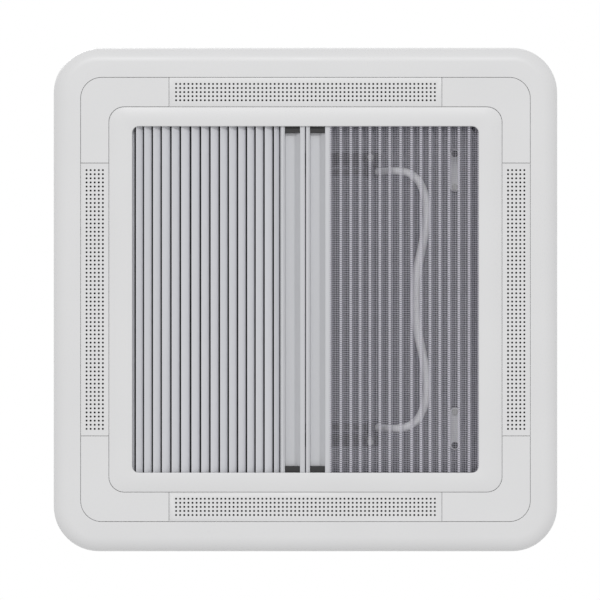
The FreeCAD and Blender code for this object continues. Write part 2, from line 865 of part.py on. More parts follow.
def grip_path():
    """Half of the grip's middle line, from its leg in the socket to the middle of the waist."""
    y = float(S.arm_y)
    low = float(slot_z - S.grip_drop)
    way = drop_direction()
    slide = Vector(float(S.slide_reach), y, float(slot_z))
    leg_start = slide + way * (float(S.arm_half_height) + 1)
    knee = slide + Vector(float(S.grip_knee_reach), 0, -float(S.grip_drop))
    lobe_x, waist_x = float(S.grip_lobe_x), float(S.grip_waist_x)
    corner = Vector(lobe_x, y, low)
    lobe = Vector(lobe_x, float(S.grip_lobe_half), low)
    waist = Vector(waist_x, float(S.grip_waist_half), low)
    middle = Vector(waist_x, 0, low)
    knee_in, knee_out, knee_arc = fillet_arc(leg_start, knee, corner, float(S.grip_knee_round))
    turn_in, turn_out, turn_arc = fillet_arc(knee, corner, lobe, float(S.grip_corner_round))
    run = lobe.y - waist.y
    step = lobe.x - waist.x
    radius = (run * run + step * step) / (4 * step)
    swing = math.asin(run / 2 / radius)
    halfway = (lobe + waist) / 2
    bow = Vector(radius * (1 - math.cos(swing / 2)), radius * math.sin(swing / 2), 0)
    outer_arc = Part.Arc(lobe, lobe - bow, halfway).toShape()
    inner_arc = Part.Arc(halfway, waist + bow, waist).toShape()
    return [
        Part.makeLine(leg_start, knee_in), knee_arc,
        Part.makeLine(knee_out, turn_in), turn_arc,
        Part.makeLine(turn_out, lobe), outer_arc, inner_arc,
        Part.makeLine(waist, middle),
    ]


def bail_grip():
    """A round tube swept along lines and arcs, one half and its mirror image joined."""
    edges = grip_path()
    spine = Part.Wire(edges)
    start = edges[0].Vertexes[0].Point
    ring = Part.Wire(Part.makeCircle(float(S.grip_radius), start, drop_direction()))
    half = spine.makePipeShell([ring], True, False)
    other = half.mirror(Vector(), ACROSS_Y)
    grip = doc.addObject("Part::Feature", "bail_grip")
    grip.Shape = half.fuse(other).removeSplitter()
    return node(grip, "bail_grip")


def slide_pins():
    """Pins through the ends of the arms, with a head outside the rail."""
    start = S.arm_y - S.arm_thickness / 2
    rail_outside = rail_y + S.rail_web + S.hinge_play
    shank = cylinder("slide_shank", S.slide_pin_radius, rail_outside - start,
                     S.slide_reach, start, slot_z, "y")
    head = cylinder("slide_head", S.slide_head_radius, S.slide_head_height,
                    S.slide_reach, rail_outside, slot_z, "y")
    return node(both_sides("slide_pins", fuse("slide_pin", shank, head)), "slide_pins")


def slide_bushes():
    """Plain bushes on the pins that run in the slots of the rails."""
    start = S.arm_y + S.arm_thickness / 2
    length = rail_y + S.rail_web + S.running_play - start
    ring = cylinder("bush_ring", S.bush_radius, length, S.slide_reach, start, slot_z, "y")
    bore = cylinder("bush_bore", S.slide_pin_radius + S.screw_hole_play / 2, length,
                    S.slide_reach, start, slot_z, "y")
    return node(both_sides("slide_bushes", cut("slide_bush", ring, bore)), "slide_bushes")


# Guide rails under the dome


def rail_pad_places():
    return rail_left + S.rail_pad_inset, rail_right - S.rail_pad_inset


def guide_rail():
    """A slotted web with stops for three opening positions, and a flange for its screws."""
    body = new_body("guide_rail_back")
    web = sketch_on(body, "XZ_Plane", -(rail_y + S.rail_web))
    rectangle(web, rail_left, slot_z - S.rail_half_height, rail_right, rail_top)
    pad(body, web, S.rail_web)
    flange = sketch_on(body, "YZ_Plane", rail_left)
    rectangle(flange, rail_y, rail_top - S.rail_flange_thickness, rail_y + S.rail_flange, rail_top)
    pad(body, flange, rail_right - rail_left)
    slot = sketch_on(body, "XZ_Plane", -(rail_y + S.rail_web))
    capsule(slot, S.slide_reach - S.slot_travel, slot_z, S.slide_reach, slot_z, slot_half_height)
    slot_cut(body, slot)
    for step in (0, 1, 2):
        notch = sketch_on(body, "XZ_Plane", -(rail_y + S.rail_web))
        circle(notch, S.slide_reach - step * S.notch_pitch, slot_z - 1, S.notch_radius)
        slot_cut(body, notch)
    holes = sketch_on(body, "XY_Plane", rail_top)
    for x in rail_pad_places():
        circle(holes, x, rail_screw_y, screw_hole)
    pocket(body, holes, S.rail_flange_thickness)
    return body


def slot_cut(body, sketch):
    """Cuts through the rail's web from its outer side."""
    return pocket(body, sketch, S.rail_web, reverse=True)


def guide_rails():
    back = node(guide_rail(), "guide_rail_back")
    node(mirrored("guide_rail_front", back, ACROSS_Y), "guide_rail_front")


def rail_pads():
    pads = []
    for x in rail_pad_places():
        stub = cylinder("rail_pad", S.rail_pad_radius, plateau_z - rail_top, x, rail_screw_y, rail_top)
        bore = cylinder("rail_pad_bore", screw_hole, plateau_z - rail_top - S.pane_wall,
                        x, rail_screw_y, rail_top)
        pads.append(cut("rail_pad_bored", stub, bore))
    return node(both_sides("rail_pads", group("rail_pad_pair", pads)), "rail_pads")


def rail_screws():
    length = plateau_z - rail_top - S.pane_wall
    seat = rail_top - S.rail_flange_thickness
    screws = [
        small_screw("rail_screw", x, rail_screw_y, seat, "z", 1, length)
        for x in rail_pad_places()
    ]
    return node(both_sides("rail_screws", group("rail_screw_pair", screws)), "rail_screws")


# Swivel catches


def catch_posts():
    length = S.catch_drop - S.running_play
    post = cylinder("catch_post", S.catch_post_radius, length,
                    catch_x, S.catch_pivot_y, plateau_z - length)
    bore = cylinder("catch_post_bore", screw_hole, length - 2 * S.pane_wall,
                    catch_x, S.catch_pivot_y, plateau_z - length)
    return node(both_sides("catch_posts", cut("catch_post_bored", post, bore)), "catch_posts")


def catches():
    """Two swivel levers, each with its screw and its rubber tip, shown released."""
    lever = new_body("catch_lever_bar")
    shape = sketch_on(lever, "XY_Plane", lever_bottom)
    capsule(shape, catch_x, S.catch_pivot_y, catch_x, S.catch_pivot_y + S.catch_reach,
            S.catch_radius)
    pad(lever, shape, S.catch_thickness)
    hole = sketch_on(lever, "XY_Plane", lever_top)
    circle(hole, catch_x, S.catch_pivot_y, S.small_screw_radius + S.running_play)
    pocket(lever, hole, S.catch_thickness)
    length = S.catch_thickness + S.catch_drop - 2 * S.pane_wall - 2 * S.running_play
    pin = small_screw("catch_screw_back", catch_x, S.catch_pivot_y, lever_bottom, "z", 1, length)
    tip = cylinder("catch_tip_back", S.catch_tip_radius, S.catch_tip_height,
                   catch_x, S.catch_pivot_y + S.catch_reach, lever_bottom - S.catch_tip_height)
    for part, name in ((lever, "catch_lever"), (pin, "catch_screw"), (tip, "catch_tip")):
        node(part, f"{name}_back")
        node(mirrored(f"{name}_front", part, ACROSS_Y), f"{name}_front")


def catch_strikes():
    """Ledges on the throat wall that the levers turn under."""
    body = new_body("catch_strike")
    wall = throat_inner / 2
    low = lever_top + S.catch_play
    width = S.strike_width
    shape = sketch_on(body, "XZ_Plane", -(S.catch_pivot_y + width / 2))
    polygon(shape, [
        (wall, low), (wall, low + S.strike_height),
        (wall - S.strike_thickness, low + S.strike_height),
        (wall - S.strike_thickness, low + S.strike_thickness),
        (wall - S.strike_ledge, low + S.strike_thickness),
        (wall - S.strike_ledge, low),
    ])
    pad(body, shape, width)
    return node(both_sides("catch_strikes", body), "catch_strikes")


# Clamps under the ceiling


def clamp(name, side, place):
    """One angle clamp in the XZ plane on the +X side, as a body turned to its own side."""
    body = new_body(name)
    leg_x = throat_outer / 2 + S.soft_gap
    thick = S.clamp_thickness
    shape = sketch_on(body, "XZ_Plane", -(S.clamp_width / 2))
    polygon(shape, [
        (leg_x, ceiling_z - S.clamp_leg), (leg_x + thick, ceiling_z - S.clamp_leg),
        (leg_x + thick, ceiling_z - 2 * thick), (leg_x + 2 * thick, ceiling_z - thick),
        (leg_x + thick + S.clamp_reach, ceiling_z - thick),
        (leg_x + thick + S.clamp_reach, ceiling_z), (leg_x, ceiling_z),
    ])
    pad(body, shape, S.clamp_width)
    hole = sketch_on(body, "YZ_Plane", leg_x)
    circle(hole, 0, clamp_screw_z(), screw_hole)
    pocket(body, hole, 2 * thick, reverse=True)
    body.Placement = Placement(Vector(), Rotation(Vector(0, 0, 1), 90 * side))
    shift = S.clamp_spacing / 2 * place
    bind(body, "Placement.Base.x" if side % 2 else "Placement.Base.y", shift)
    return body


def clamps():
    brackets = []
    screws = []
    head_seat = throat_inner / 2
    length = S.throat_wall + S.soft_gap + 2 * S.clamp_thickness
    for side in range(4):
        for place in (-1, 1):
            brackets.append(clamp("clamp", side, place))
            along = place * S.clamp_spacing / 2
            sign = 1 if side < 2 else -1
            x, y, axis = (
                (sign * head_seat, along, "x") if side % 2 == 0 else (along, sign * head_seat, "y")
            )
            screws.append(small_screw("clamp_screw", x, y, clamp_screw_z(), axis, sign, length))
    node(group("clamp_brackets", brackets), "clamp_brackets")
    node(group("clamp_screws", screws), "clamp_screws")


# Interior frame and what fills its ring


def interior_frame():
    body = new_body("interior_frame")
    pad(body, square_sketch(body, face_z, frame_size, S.frame_corner), S.frame_depth)
    rib_outer = (ring_outer_x + 2 * S.frame_wall, ring_outer_y + 2 * S.frame_wall)
    rib_corner = S.ring_outer_corner + S.frame_wall
    inside = frame_size - 2 * S.frame_wall
    inside_corner = S.frame_corner - S.frame_wall
    rim = ring_sketch(body, ceiling_z, inside, inside_corner, rib_outer, rib_corner)
    pocket(body, rim, S.frame_depth - S.frame_wall)
    rim_floor = face_z + S.frame_wall
    past_rib = rib_outer[0] / 2 + 1
    bevel_edges(body, S.frame_roll / 2, level_edge(rim_floor, past_rib))
    round_edges(body, S.frame_roll, level_edge(face_z))
    ring = (ring_outer_x, ring_outer_y)
    collar = 2 * collar_half
    well_corner = S.track_wall / 2
    collar_corner = well_corner + S.frame_wall
    channel = ring_sketch(body, ceiling_z, ring, S.ring_outer_corner, collar, collar_corner)
    pocket(body, channel, ceiling_z - floor_top)
    well = square_sketch(body, ceiling_z, 2 * cassette_half, well_corner)
    pocket(body, well, ceiling_z - face_z)
    recess = sketch_on(body, "XY_Plane", face_z)
    rounded_rectangle(recess, *ring, S.ring_outer_corner)
    pocket(body, recess, S.insert_thickness, reverse=True)
    rise = ring_sketch(body, ceiling_z, collar, collar_corner, 2 * cassette_half, well_corner)
    pad(body, rise, S.collar_height)
    vent_windows(body)
    for spacing_x, spacing_y in frame_screw_patterns():
        tubes = sketch_on(body, "XY_Plane", floor_top)
        holes = sketch_on(body, "XY_Plane", ceiling_z)
        for side_x in (-1, 1):
            for side_y in (-1, 1):
                x, y = side_x * spacing_x / 2, side_y * spacing_y / 2
                circle(tubes, x, y, S.frame_screw_tube)
                circle(holes, x, y, S.frame_screw_hole)
        pad(body, tubes, ceiling_z - floor_top)
        pocket(body, holes, ceiling_z - recess_z)
    return node(body, "interior_frame")


def window_surround(name):
    """The flat moulding round the window, as one piece. It closes the ceiling frame's well."""
    body = new_body(name)
    outline = sketch_on(body, "XY_Plane", face_z)
    rounded_rectangle(outline, ring_inner_x, ring_inner_y, S.ring_inner_corner)
    pad(body, outline, S.insert_thickness)
    opening = square_sketch(body, lip_top, opening_size, S.opening_corner)
    pocket(body, opening, S.insert_thickness)
    round_edges(body, S.lip_round, opening_edge)
    return body


def blind_frame():
    """The moulding that carries the tracks, parted into four straight sides and four corners."""
    corner_start = opening_size / 2 - S.opening_corner
    side_end = corner_start - S.surround_joint
    sides = window_surround("blind_frame")
    corner_cuts = sketch_on(sides, "XY_Plane", lip_top)
    for side_x in (-1, 1):
        for side_y in (-1, 1):
            outer_x, outer_y = side_x * ring_inner_x / 2, side_y * ring_inner_y / 2
            rectangle(corner_cuts, side_x * side_end, side_y * side_end, outer_x, outer_y)
    pocket(sides, corner_cuts, S.insert_thickness)
    corners = window_surround("blind_frame_corners")
    for half_x, half_y in ((corner_start, ring_inner_y / 2), (ring_inner_x / 2, corner_start)):
        side_cut = sketch_on(corners, "XY_Plane", lip_top)
        rectangle(side_cut, -half_x, -half_y, half_x, half_y)
        pocket(corners, side_cut, S.insert_thickness)
    node(sides, "blind_frame")
    node(corners, "blind_frame_corners")


def opening_edge(edge):
    """The lower edge of the window opening."""
    box = edge.BoundBox
    level = abs(box.ZMax - float(face_z)) < 0.001 and abs(box.ZMin - float(face_z)) < 0.001
    middle = edge.valueAt((edge.FirstParameter + edge.LastParameter) / 2)
    return level and max(abs(middle.x), abs(middle.y)) < float(opening_size) / 2 + 0.1


def ring_middle_x():
    return (ring_outer_x + ring_inner_x) / 4


def ring_middle_y():
    return (ring_outer_y + ring_inner_y) / 4


def frame_screw_patterns():
    """Two rectangles of screws, in the ring beside the ends of the grilles."""
    return (
        (2 * ring_middle_x(), frame_screw_spacing),
        (frame_screw_spacing, 2 * ring_middle_y()),
    )


def vent_windows(body):
    """Air passages through the floor of the ring behind each grille."""
    half_long = grille_length / 2 - S.vent_window_margin
    half_wide = S.grille_rows_width / 2 + 1
    windows = sketch_on(body, "XY_Plane", floor_top)
    for side in (-1, 1):
        y = side * ring_middle_y()
        rectangle(windows, -half_long, y - half_wide, half_long, y + half_wide)
        x = side * ring_middle_x()
        rectangle(windows, x - half_wide, -half_long, x + half_wide, half_long)
    pocket(body, windows, S.frame_wall)


def corner_covers():
    """L-shaped covers over the corners of the ring, between the grilles."""
    body = new_body("corner_cover_back_right")
    gap = S.insert_gap
    end = grille_length / 2 + gap
    out_x, out_y = ring_outer_x / 2 - gap, ring_outer_y / 2 - gap
    in_x, in_y = ring_inner_x / 2 + gap, ring_inner_y / 2 + gap
    shape = sketch_on(body, "XY_Plane", face_z)
    polygon(shape, [
        (end, in_y), (in_x, in_y), (in_x, end), (out_x, end), (out_x, out_y), (end, out_y),
    ])
    pad(body, shape, S.insert_thickness)
    round_edges(body, S.ring_outer_corner - gap, upright_edge(out_x, out_y))
    round_edges(body, S.ring_inner_corner + gap, upright_edge(in_x, in_y))
    node(body, "corner_cover_back_right")
    left = mirrored("corner_cover_back_left", body, ACROSS_X)
    node(left, "corner_cover_back_left")
    node(mirrored("corner_cover_front_right", body, ACROSS_Y), "corner_cover_front_right")
    node(mirrored("corner_cover_front_left", left, ACROSS_Y), "corner_cover_front_left")


def grille(name, along_x):
    """A flat grille. Each of its slots stands for one line of small round holes across it."""
    body = new_body(name)
    gap = S.insert_gap
    long_half = grille_length / 2
    if along_x:
        inner, outer = ring_inner_y / 2 + gap, ring_outer_y / 2 - gap
        middle = ring_middle_y()
    else:
        inner, outer = ring_inner_x / 2 + gap, ring_outer_x / 2 - gap
        middle = ring_middle_x()
    first = -(S.grille_count - 1) * S.grille_pitch / 2
    slot_half = S.grille_slot_width / 2
    rows_half = S.grille_rows_width / 2
    plate = sketch_on(body, "XY_Plane", face_z)
    slot = sketch_on(body, "XY_Plane", recess_z)
    if along_x:
        rectangle(plate, -long_half, inner, long_half, outer)
        rectangle(slot, first - slot_half, middle - rows_half, first + slot_half, middle + rows_half)
    else:
        rectangle(plate, inner, -long_half, outer, long_half)
        rectangle(slot, middle - rows_half, first - slot_half, middle + rows_half, first + slot_half)
    pad(body, plate, S.insert_thickness)
    first_slot = pocket(body, slot, S.insert_thickness)
    row = body.newObject("PartDesign::LinearPattern", "row")
    row.Originals = [first_slot]
    row.Direction = (origin_feature(body, "X_Axis" if along_x else "Y_Axis"), [""])
    bind(row, "Length", (S.grille_count - 1) * S.grille_pitch)
    bind(row, "Occurrences", S.grille_count)
    body.Tip = row
    return body


def vent_grilles():
    back = node(grille("vent_grille_back", True), "vent_grille_back")
    node(mirrored("vent_grille_front", back, ACROSS_Y), "vent_grille_front")
    right = node(grille("vent_grille_right", False), "vent_grille_right")
    node(mirrored("vent_grille_left", right, ACROSS_X), "vent_grille_left")


# Blinds


def blind_tracks():
    """C rails on the lip, open towards the window, that the bars' shoes run in."""
    body = new_body("blind_track_back")
    wall = S.track_wall
    shape = sketch_on(body, "YZ_Plane", -track_web)
    polygon(shape, [
        (track_open, lip_top), (track_web, lip_top), (track_web, track_top),
        (track_open, track_top), (track_open, track_top - wall),
        (track_web - wall, track_top - wall), (track_web - wall, lip_top + wall),
        (track_open, lip_top + wall),
    ])
    pad(body, shape, 2 * track_web)
    node(body, "blind_track_back")
    node(mirrored("blind_track_front", body, ACROSS_Y), "blind_track_front")


def end_rails():
    """Angle rails across the ends of the tracks, which hold the fixed ends of the pleats."""
    body = new_body("flyscreen_end_rail")
    wall = S.track_wall
    half = track_open - S.soft_gap
    shape = sketch_on(body, "XZ_Plane", -half)
    polygon(shape, [
        (track_web, lip_top), (track_web, track_top), (track_web - 4 * wall, track_top),
        (track_web - 4 * wall, track_top - wall), (track_web - wall, track_top - wall),
        (track_web - wall, lip_top),
    ])
    pad(body, shape, 2 * half)
    node(body, "flyscreen_end_rail")
    node(mirrored("blackout_end_rail", body, ACROSS_X), "blackout_end_rail")


def track_corners():
    """Blocks in the ends of the tracks that join them square to the end rails."""
    inner = track_open + 2 * S.soft_gap
    outer = track_web - S.track_wall
    start = track_web - 3 * S.track_wall - S.soft_gap
    low = lip_top + S.track_wall
    high = track_top - S.track_wall
    back_right = block("track_corner", start - S.track_depth, start, inner, outer, low, high)
    back_left = mirrored("track_corner_left", back_right, ACROSS_X)
    pair = group("track_corner_pair", [back_right, back_left])
    return node(both_sides("track_corners", pair), "track_corners")


def bar_profiles(left):
    """Sections of the three profiles of a pull bar, by the ends of their names.

    The web is the floor of the finger channel. The strip beside it clamps a blind or meets the other
    bar, and the rail on its far side slopes down to the other lip.
    """
    edge, joint = S.bar_edge, S.bar_joint
    inner = left + S.bar_lip
    floor_end = inner + S.bar_floor_width
    slope_end = floor_end + S.bar_slope_width
    right = left + S.bar_width
    return {
        "_strip": [
            (left, bar_high), (left, bar_low + edge), (left + edge, bar_low),
            (inner - joint - edge, bar_low), (inner - joint, bar_low + edge), (inner - joint, bar_high),
        ],
        "": [
            (inner, bar_high), (inner, bar_floor), (floor_end, bar_floor), (floor_end, bar_high),
        ],
        "_rail": [
            (floor_end + joint, bar_high), (floor_end + joint, bar_floor),
            (slope_end, bar_floor - S.bar_slope_height), (slope_end, bar_low + edge),
            (slope_end + edge, bar_low), (right - edge, bar_low), (right, bar_low + edge),
            (right, bar_high),
        ],
    }


def pull_bar(name, left):
    """A straight bar of three profiles across the window, with a plug and a shoe at each end."""
    half = pleat_half_width
    for ending, outline in bar_profiles(left).items():
        body = new_body(f"{name}{ending}")
        shape = sketch_on(body, "XZ_Plane", -half)
        polygon(shape, outline)
        pad(body, shape, 2 * half)
        node(body, f"{name}{ending}")
    node(bar_ends(name, left, half), f"{name}_ends")


def bar_ends(name, left, half):
    """Black ends: a plug that closes the channel and a shoe that runs in the track."""
    gap = S.screw_hole_play
    plug = new_body(f"{name}_plug")
    shape = sketch_on(plug, "XZ_Plane", -half)
    floor_end = left + S.bar_lip + S.bar_floor_width
    slope_end = floor_end + S.bar_slope_width - gap
    plug_low = bar_floor - S.plug_height
    polygon(shape, [
        (left + S.bar_lip + gap, bar_floor - gap), (left + S.bar_lip + gap, plug_low),
        (slope_end, plug_low), (slope_end, bar_floor - S.bar_slope_height - 2 * gap),
        (floor_end - gap, bar_floor - gap),
    ])
    pad(plug, shape, S.plug_length)
    inner = track_web - S.track_wall - S.running_play
    shoe = block(f"{name}_shoe", left + 1, left + S.bar_width - 1, half, inner, shoe_low, shoe_high)
    end = fuse(f"{name}_end", plug, shoe)
    return both_sides(f"{name}_ends", end)


def pleats(name, fixed_x, free_x, faces, share):
    """A folded sheet from its fixed end to the bar: broad and narrow faces in turn, cut square."""
    count = int(float(faces))
    start, end = float(fixed_x), float(free_x)
    low, high = float(pleat_low), float(pleat_high)
    sheet_thickness = float(S.pleat_sheet)
    share = float(share)
    pair = (end - start) / (count // 2 + share * (count % 2))
    broad = pair * share
    ridge, valley = [], []
    x = start
    for fold in range(count + 1):
        down = fold % 2 == 0
        ridge.append(Vector(x, 0, low if down else high - sheet_thickness))
        valley.append(Vector(x, 0, low + sheet_thickness if down else high))
        x += broad if down else pair - broad
    outline = ridge + valley[::-1]
    face = Part.Face(Part.makePolygon(outline + outline[:1]))
    half = float(pleat_half_width)
    solid = face.extrude(Vector(0, 2 * half, 0))
    solid.translate(Vector(0, -half, 0))
    folded = doc.addObject("Part::Feature", name)
    folded.Shape = solid
    return node(folded, name)


def blinds():
    blind_tracks()
    end_rails()
    track_corners()
    left = -(S.bar_gap / 2 + S.bar_width)
    pull_bar("blackout_bar", left)
    pull_bar("flyscreen_bar", as_size(0) + S.bar_gap / 2)
    bar_side = S.bar_gap / 2 + S.bar_width + S.soft_gap
    pleats("blackout_pleats", -pleat_end, -bar_side, S.blackout_faces, S.blackout_face_share)
    pleats("flyscreen_pleats", bar_side, pleat_end, S.flyscreen_faces, S.flyscreen_face_share)


def build():
    outer_frame()
    dome_gasket()
    outer_dome()
    inner_pane()
    pane_spacer()
    hinge_brackets()
    hinge_pins()
    hinge_leaves()
    bail_brackets()
    bail_bracket_screws()
    bail_pins()
    bail_arms()
    bail_grip()
    slide_pins()
    slide_bushes()
    guide_rails()
    rail_pads()
    rail_screws()
    catch_posts()
    catches()
    catch_strikes()
    clamps()
    interior_frame()
    blind_frame()
    corner_covers()
    vent_grilles()
    blinds()


def check_and_export():
    """Stops on a failed feature or a bad shape, then writes one file for each node."""
    doc.recompute()
    for thing in doc.Objects:
        if "Invalid" in thing.State or "Error" in thing.State:
            raise RuntimeError(f"{thing.Label} failed: {thing.State}")
    for thing in NODES:
        shape = thing.Shape
        if shape.isNull() or not shape.isValid():
            raise RuntimeError(f"{thing.Label} has no valid shape")
    os.makedirs("parts", exist_ok=True)
    for thing in NODES:
        thing.Shape.exportStep(f"parts/{thing.Label}.step")
        box = thing.Shape.BoundBox
        print(f"{thing.Label}: {len(thing.Shape.Solids)} solids, {thing.Shape.Volume:.0f} mm3, "
              f"x {box.XMin:.1f} {box.XMax:.1f} y {box.YMin:.1f} {box.YMax:.1f} "
              f"z {box.ZMin:.1f} {box.ZMax:.1f}")


build()
check_and_export()
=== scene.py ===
import json
import math

import bmesh
import bpy
from bpy.props import FloatProperty, FloatVectorProperty, IntProperty, PointerProperty
from bpy.types import Operator, Panel, PropertyGroup
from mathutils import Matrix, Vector


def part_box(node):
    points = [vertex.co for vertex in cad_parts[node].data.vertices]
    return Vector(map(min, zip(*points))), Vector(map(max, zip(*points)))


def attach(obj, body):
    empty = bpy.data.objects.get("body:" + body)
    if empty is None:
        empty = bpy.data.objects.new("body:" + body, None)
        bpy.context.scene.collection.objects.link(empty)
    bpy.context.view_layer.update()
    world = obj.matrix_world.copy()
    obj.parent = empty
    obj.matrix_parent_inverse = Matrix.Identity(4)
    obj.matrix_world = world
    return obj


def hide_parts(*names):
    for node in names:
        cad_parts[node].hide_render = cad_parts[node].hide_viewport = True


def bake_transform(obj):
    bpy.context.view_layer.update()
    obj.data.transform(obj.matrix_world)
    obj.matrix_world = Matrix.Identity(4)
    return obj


bl_info = {
    "name": "Roof hatch",
    "version": (1, 0, 0),
    "blender": (4, 5, 0),
    "location": "3D View > Sidebar > Roof hatch",
    "description": "Finishes a caravan roof hatch on its CAD frame, with a stage to show it on",
    "category": "Object",
}

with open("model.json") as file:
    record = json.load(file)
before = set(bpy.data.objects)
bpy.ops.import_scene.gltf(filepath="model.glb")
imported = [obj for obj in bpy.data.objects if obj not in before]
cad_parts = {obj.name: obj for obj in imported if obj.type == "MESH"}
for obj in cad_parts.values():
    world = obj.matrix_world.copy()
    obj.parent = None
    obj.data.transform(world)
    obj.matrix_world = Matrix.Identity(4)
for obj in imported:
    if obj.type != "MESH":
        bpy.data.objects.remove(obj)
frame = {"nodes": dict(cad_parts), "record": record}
record = frame["record"]
BODY = {node: body for body, nodes in record["behaviour"]["bodies"].items() for node in nodes}
SLOT = {part["node"]: part["material_slot"] for part in record["subparts"]}

# Where the middle point of a rounded edge stands, as a share of the edge's radius
EDGE_MIDDLE = 0.3

# Where the folds of the blinds stand, in millimetres from the middle of the window
BLACKOUT_FOLDS = (
    -185.9, -176.6, -167.5, -159.4, -150.6, -141.8, -132.2, -122.8, -112.6, -102.9, -93.6, -84.2,
    -75.4, -66.2, -57.4, -48.9, -40.0, -30.8,
)
FLYSCREEN_FOLDS = (
    24.6, 35.0, 44.9, 54.3, 63.9, 73.7, 83.4, 94.2, 105.0, 114.3, 123.4, 132.9, 142.2, 151.9, 162.0,
    171.6, 181.2, 185.9,
)

# Half of the bow handle's middle line, from its leg in the arm's socket to the middle of its waist:
# place in millimetres and radius
BOW_LINE = (
    ((67.9, 129, 8.8), 3.9), ((72.3, 129, 0.7), 3.8), ((78.0, 129, -9.6), 3.6),
    ((83.4, 129, -19.4), 3.5), ((87.2, 129, -25.2), 3.6), ((93.4, 128.6, -27.8), 3.8),
    ((100.2, 127.6, -28), 3.9), ((106.8, 124.4, -28), 4.0), ((112.4, 119.4, -28), 4.0),
    ((116.6, 112.2, -28), 4.0), ((119.6, 102.5, -28), 4.0), ((121.0, 90, -28), 4.0),
    ((120.6, 78, -28), 4.1), ((118.8, 64, -28), 4.2), ((115.6, 48, -28), 4.4),
    ((112.3, 32, -28), 4.6), ((110.2, 16, -28), 4.7), ((109.7, 0, -28), 4.75),
)


class HatchMouldingSettings(PropertyGroup):
    """Edges of the moulded and bent parts."""

    edge: FloatProperty(
        name="Edge", description="How far the sharp edges are rounded",
        default=0.0004, min=0.00005, max=0.003, unit="LENGTH",
    )
    fine_edge: FloatProperty(
        name="Fine edge", description="How far the edges of small parts are rounded",
        default=0.0002, min=0.00005, max=0.001, unit="LENGTH",
    )
    window: FloatProperty(
        name="Window", description="Width of the square window in the ceiling frame",
        default=0.3424, min=0.1, max=0.6, unit="LENGTH",
    )
    window_corner: FloatProperty(
        name="Window corner", description="Radius of the window's corners",
        default=0.0065, min=0.001, max=0.03, unit="LENGTH",
    )
    lip: FloatProperty(
        name="Window lip", description="How far the edge of the window is rounded",
        default=0.001, min=0.0002, max=0.003, unit="LENGTH",
    )


class HatchGrilleSettings(PropertyGroup):
    """Round holes of the vent grilles."""

    hole: FloatProperty(
        name="Hole", description="Diameter of a hole",
        default=0.0021, min=0.0005, max=0.0035, unit="LENGTH",
    )
    pitch: FloatProperty(
        name="Pitch", description="Distance between holes along the grille",
        default=0.00406, min=0.002, max=0.01, unit="LENGTH",
    )
    row_pitch: FloatProperty(
        name="Row pitch", description="Distance between the rows of holes",
        default=0.00403, min=0.002, max=0.01, unit="LENGTH",
    )
    holes: IntProperty(name="Holes", description="Holes in a row", default=64, min=1, max=64)
    rows: IntProperty(name="Rows", description="Rows of holes in a grille", default=5, min=1, max=5)


class HatchBlindSettings(PropertyGroup):
    """Sheets and threads of the two pleated blinds."""

    sheet: FloatProperty(
        name="Sheet", description="Thickness of the blackout sheet",
        default=0.0003, min=0.0001, max=0.001, unit="LENGTH",
    )
    broad_share: FloatProperty(
        name="Broad face", description="Share of a pleat's pitch that its broad face takes",
        default=0.74, min=0.3, max=0.9, subtype="FACTOR",
    )
    broad_drop: FloatProperty(
        name="Broad face drop", description="Share of a pleat's depth that its broad face takes",
        default=0.5, min=0.1, max=0.9, subtype="FACTOR",
    )
    bulge: FloatProperty(
        name="Bulge", description="How far the faces of a flyscreen pleat curve outwards",
        default=0.0004, min=0, max=0.003, unit="LENGTH",
    )
    screen_depth: FloatProperty(
        name="Flyscreen depth", description="How deep the pleats of the flyscreen are",
        default=0.0078, min=0.002, max=0.0085, unit="LENGTH",
    )
    screen_share: FloatProperty(
        name="Flyscreen face", description="Share of a pleat's pitch that its first face takes",
        default=0.3, min=0.2, max=0.7, subtype="FACTOR",
    )
    thread: FloatProperty(
        name="Thread width", description="Width of a thread of the flyscreen",
        default=0.00027, min=0.0002, max=0.001, unit="LENGTH",
    )
    thread_height: FloatProperty(
        name="Thread height", description="Height of a thread of the flyscreen, which stands on edge",
        default=0.00071, min=0.0002, max=0.001, unit="LENGTH",
    )
    fold_thread: FloatProperty(
        name="Fold stitch", description="Width of the stitches along each fold of the flyscreen",
        default=0.0025, min=0.0002, max=0.003, unit="LENGTH",
    )
    stitch: FloatProperty(
        name="Stitch length", description="Length of a fold stitch, as a share of the thread spacing",
        default=0.62, min=0.1, max=0.95, subtype="FACTOR",
    )
    thread_spacing: FloatProperty(
        name="Thread spacing", description="Distance between the threads of the flyscreen",
        default=0.00214, min=0.001, max=0.004, unit="LENGTH",
    )


class HatchBarSettings(PropertyGroup):
    """Section of the two pull bars."""

    lip: FloatProperty(
        name="Lip", description="Width of the bar's lips",
        default=0.004, min=0.002, max=0.008, unit="LENGTH",
    )
    floor: FloatProperty(
        name="Channel floor", description="Width of the flat floor of the finger channel",
        default=0.0094, min=0.004, max=0.014, unit="LENGTH",
    )
    slope: FloatProperty(
        name="Channel slope", description="Width of the sloping side of the finger channel",
        default=0.0054, min=0.001, max=0.008, unit="LENGTH",
    )
    groove: FloatProperty(
        name="Groove", description="Width and depth of the fine groove in the left lip",
        default=0.0006, min=0.0002, max=0.001, unit="LENGTH",
    )


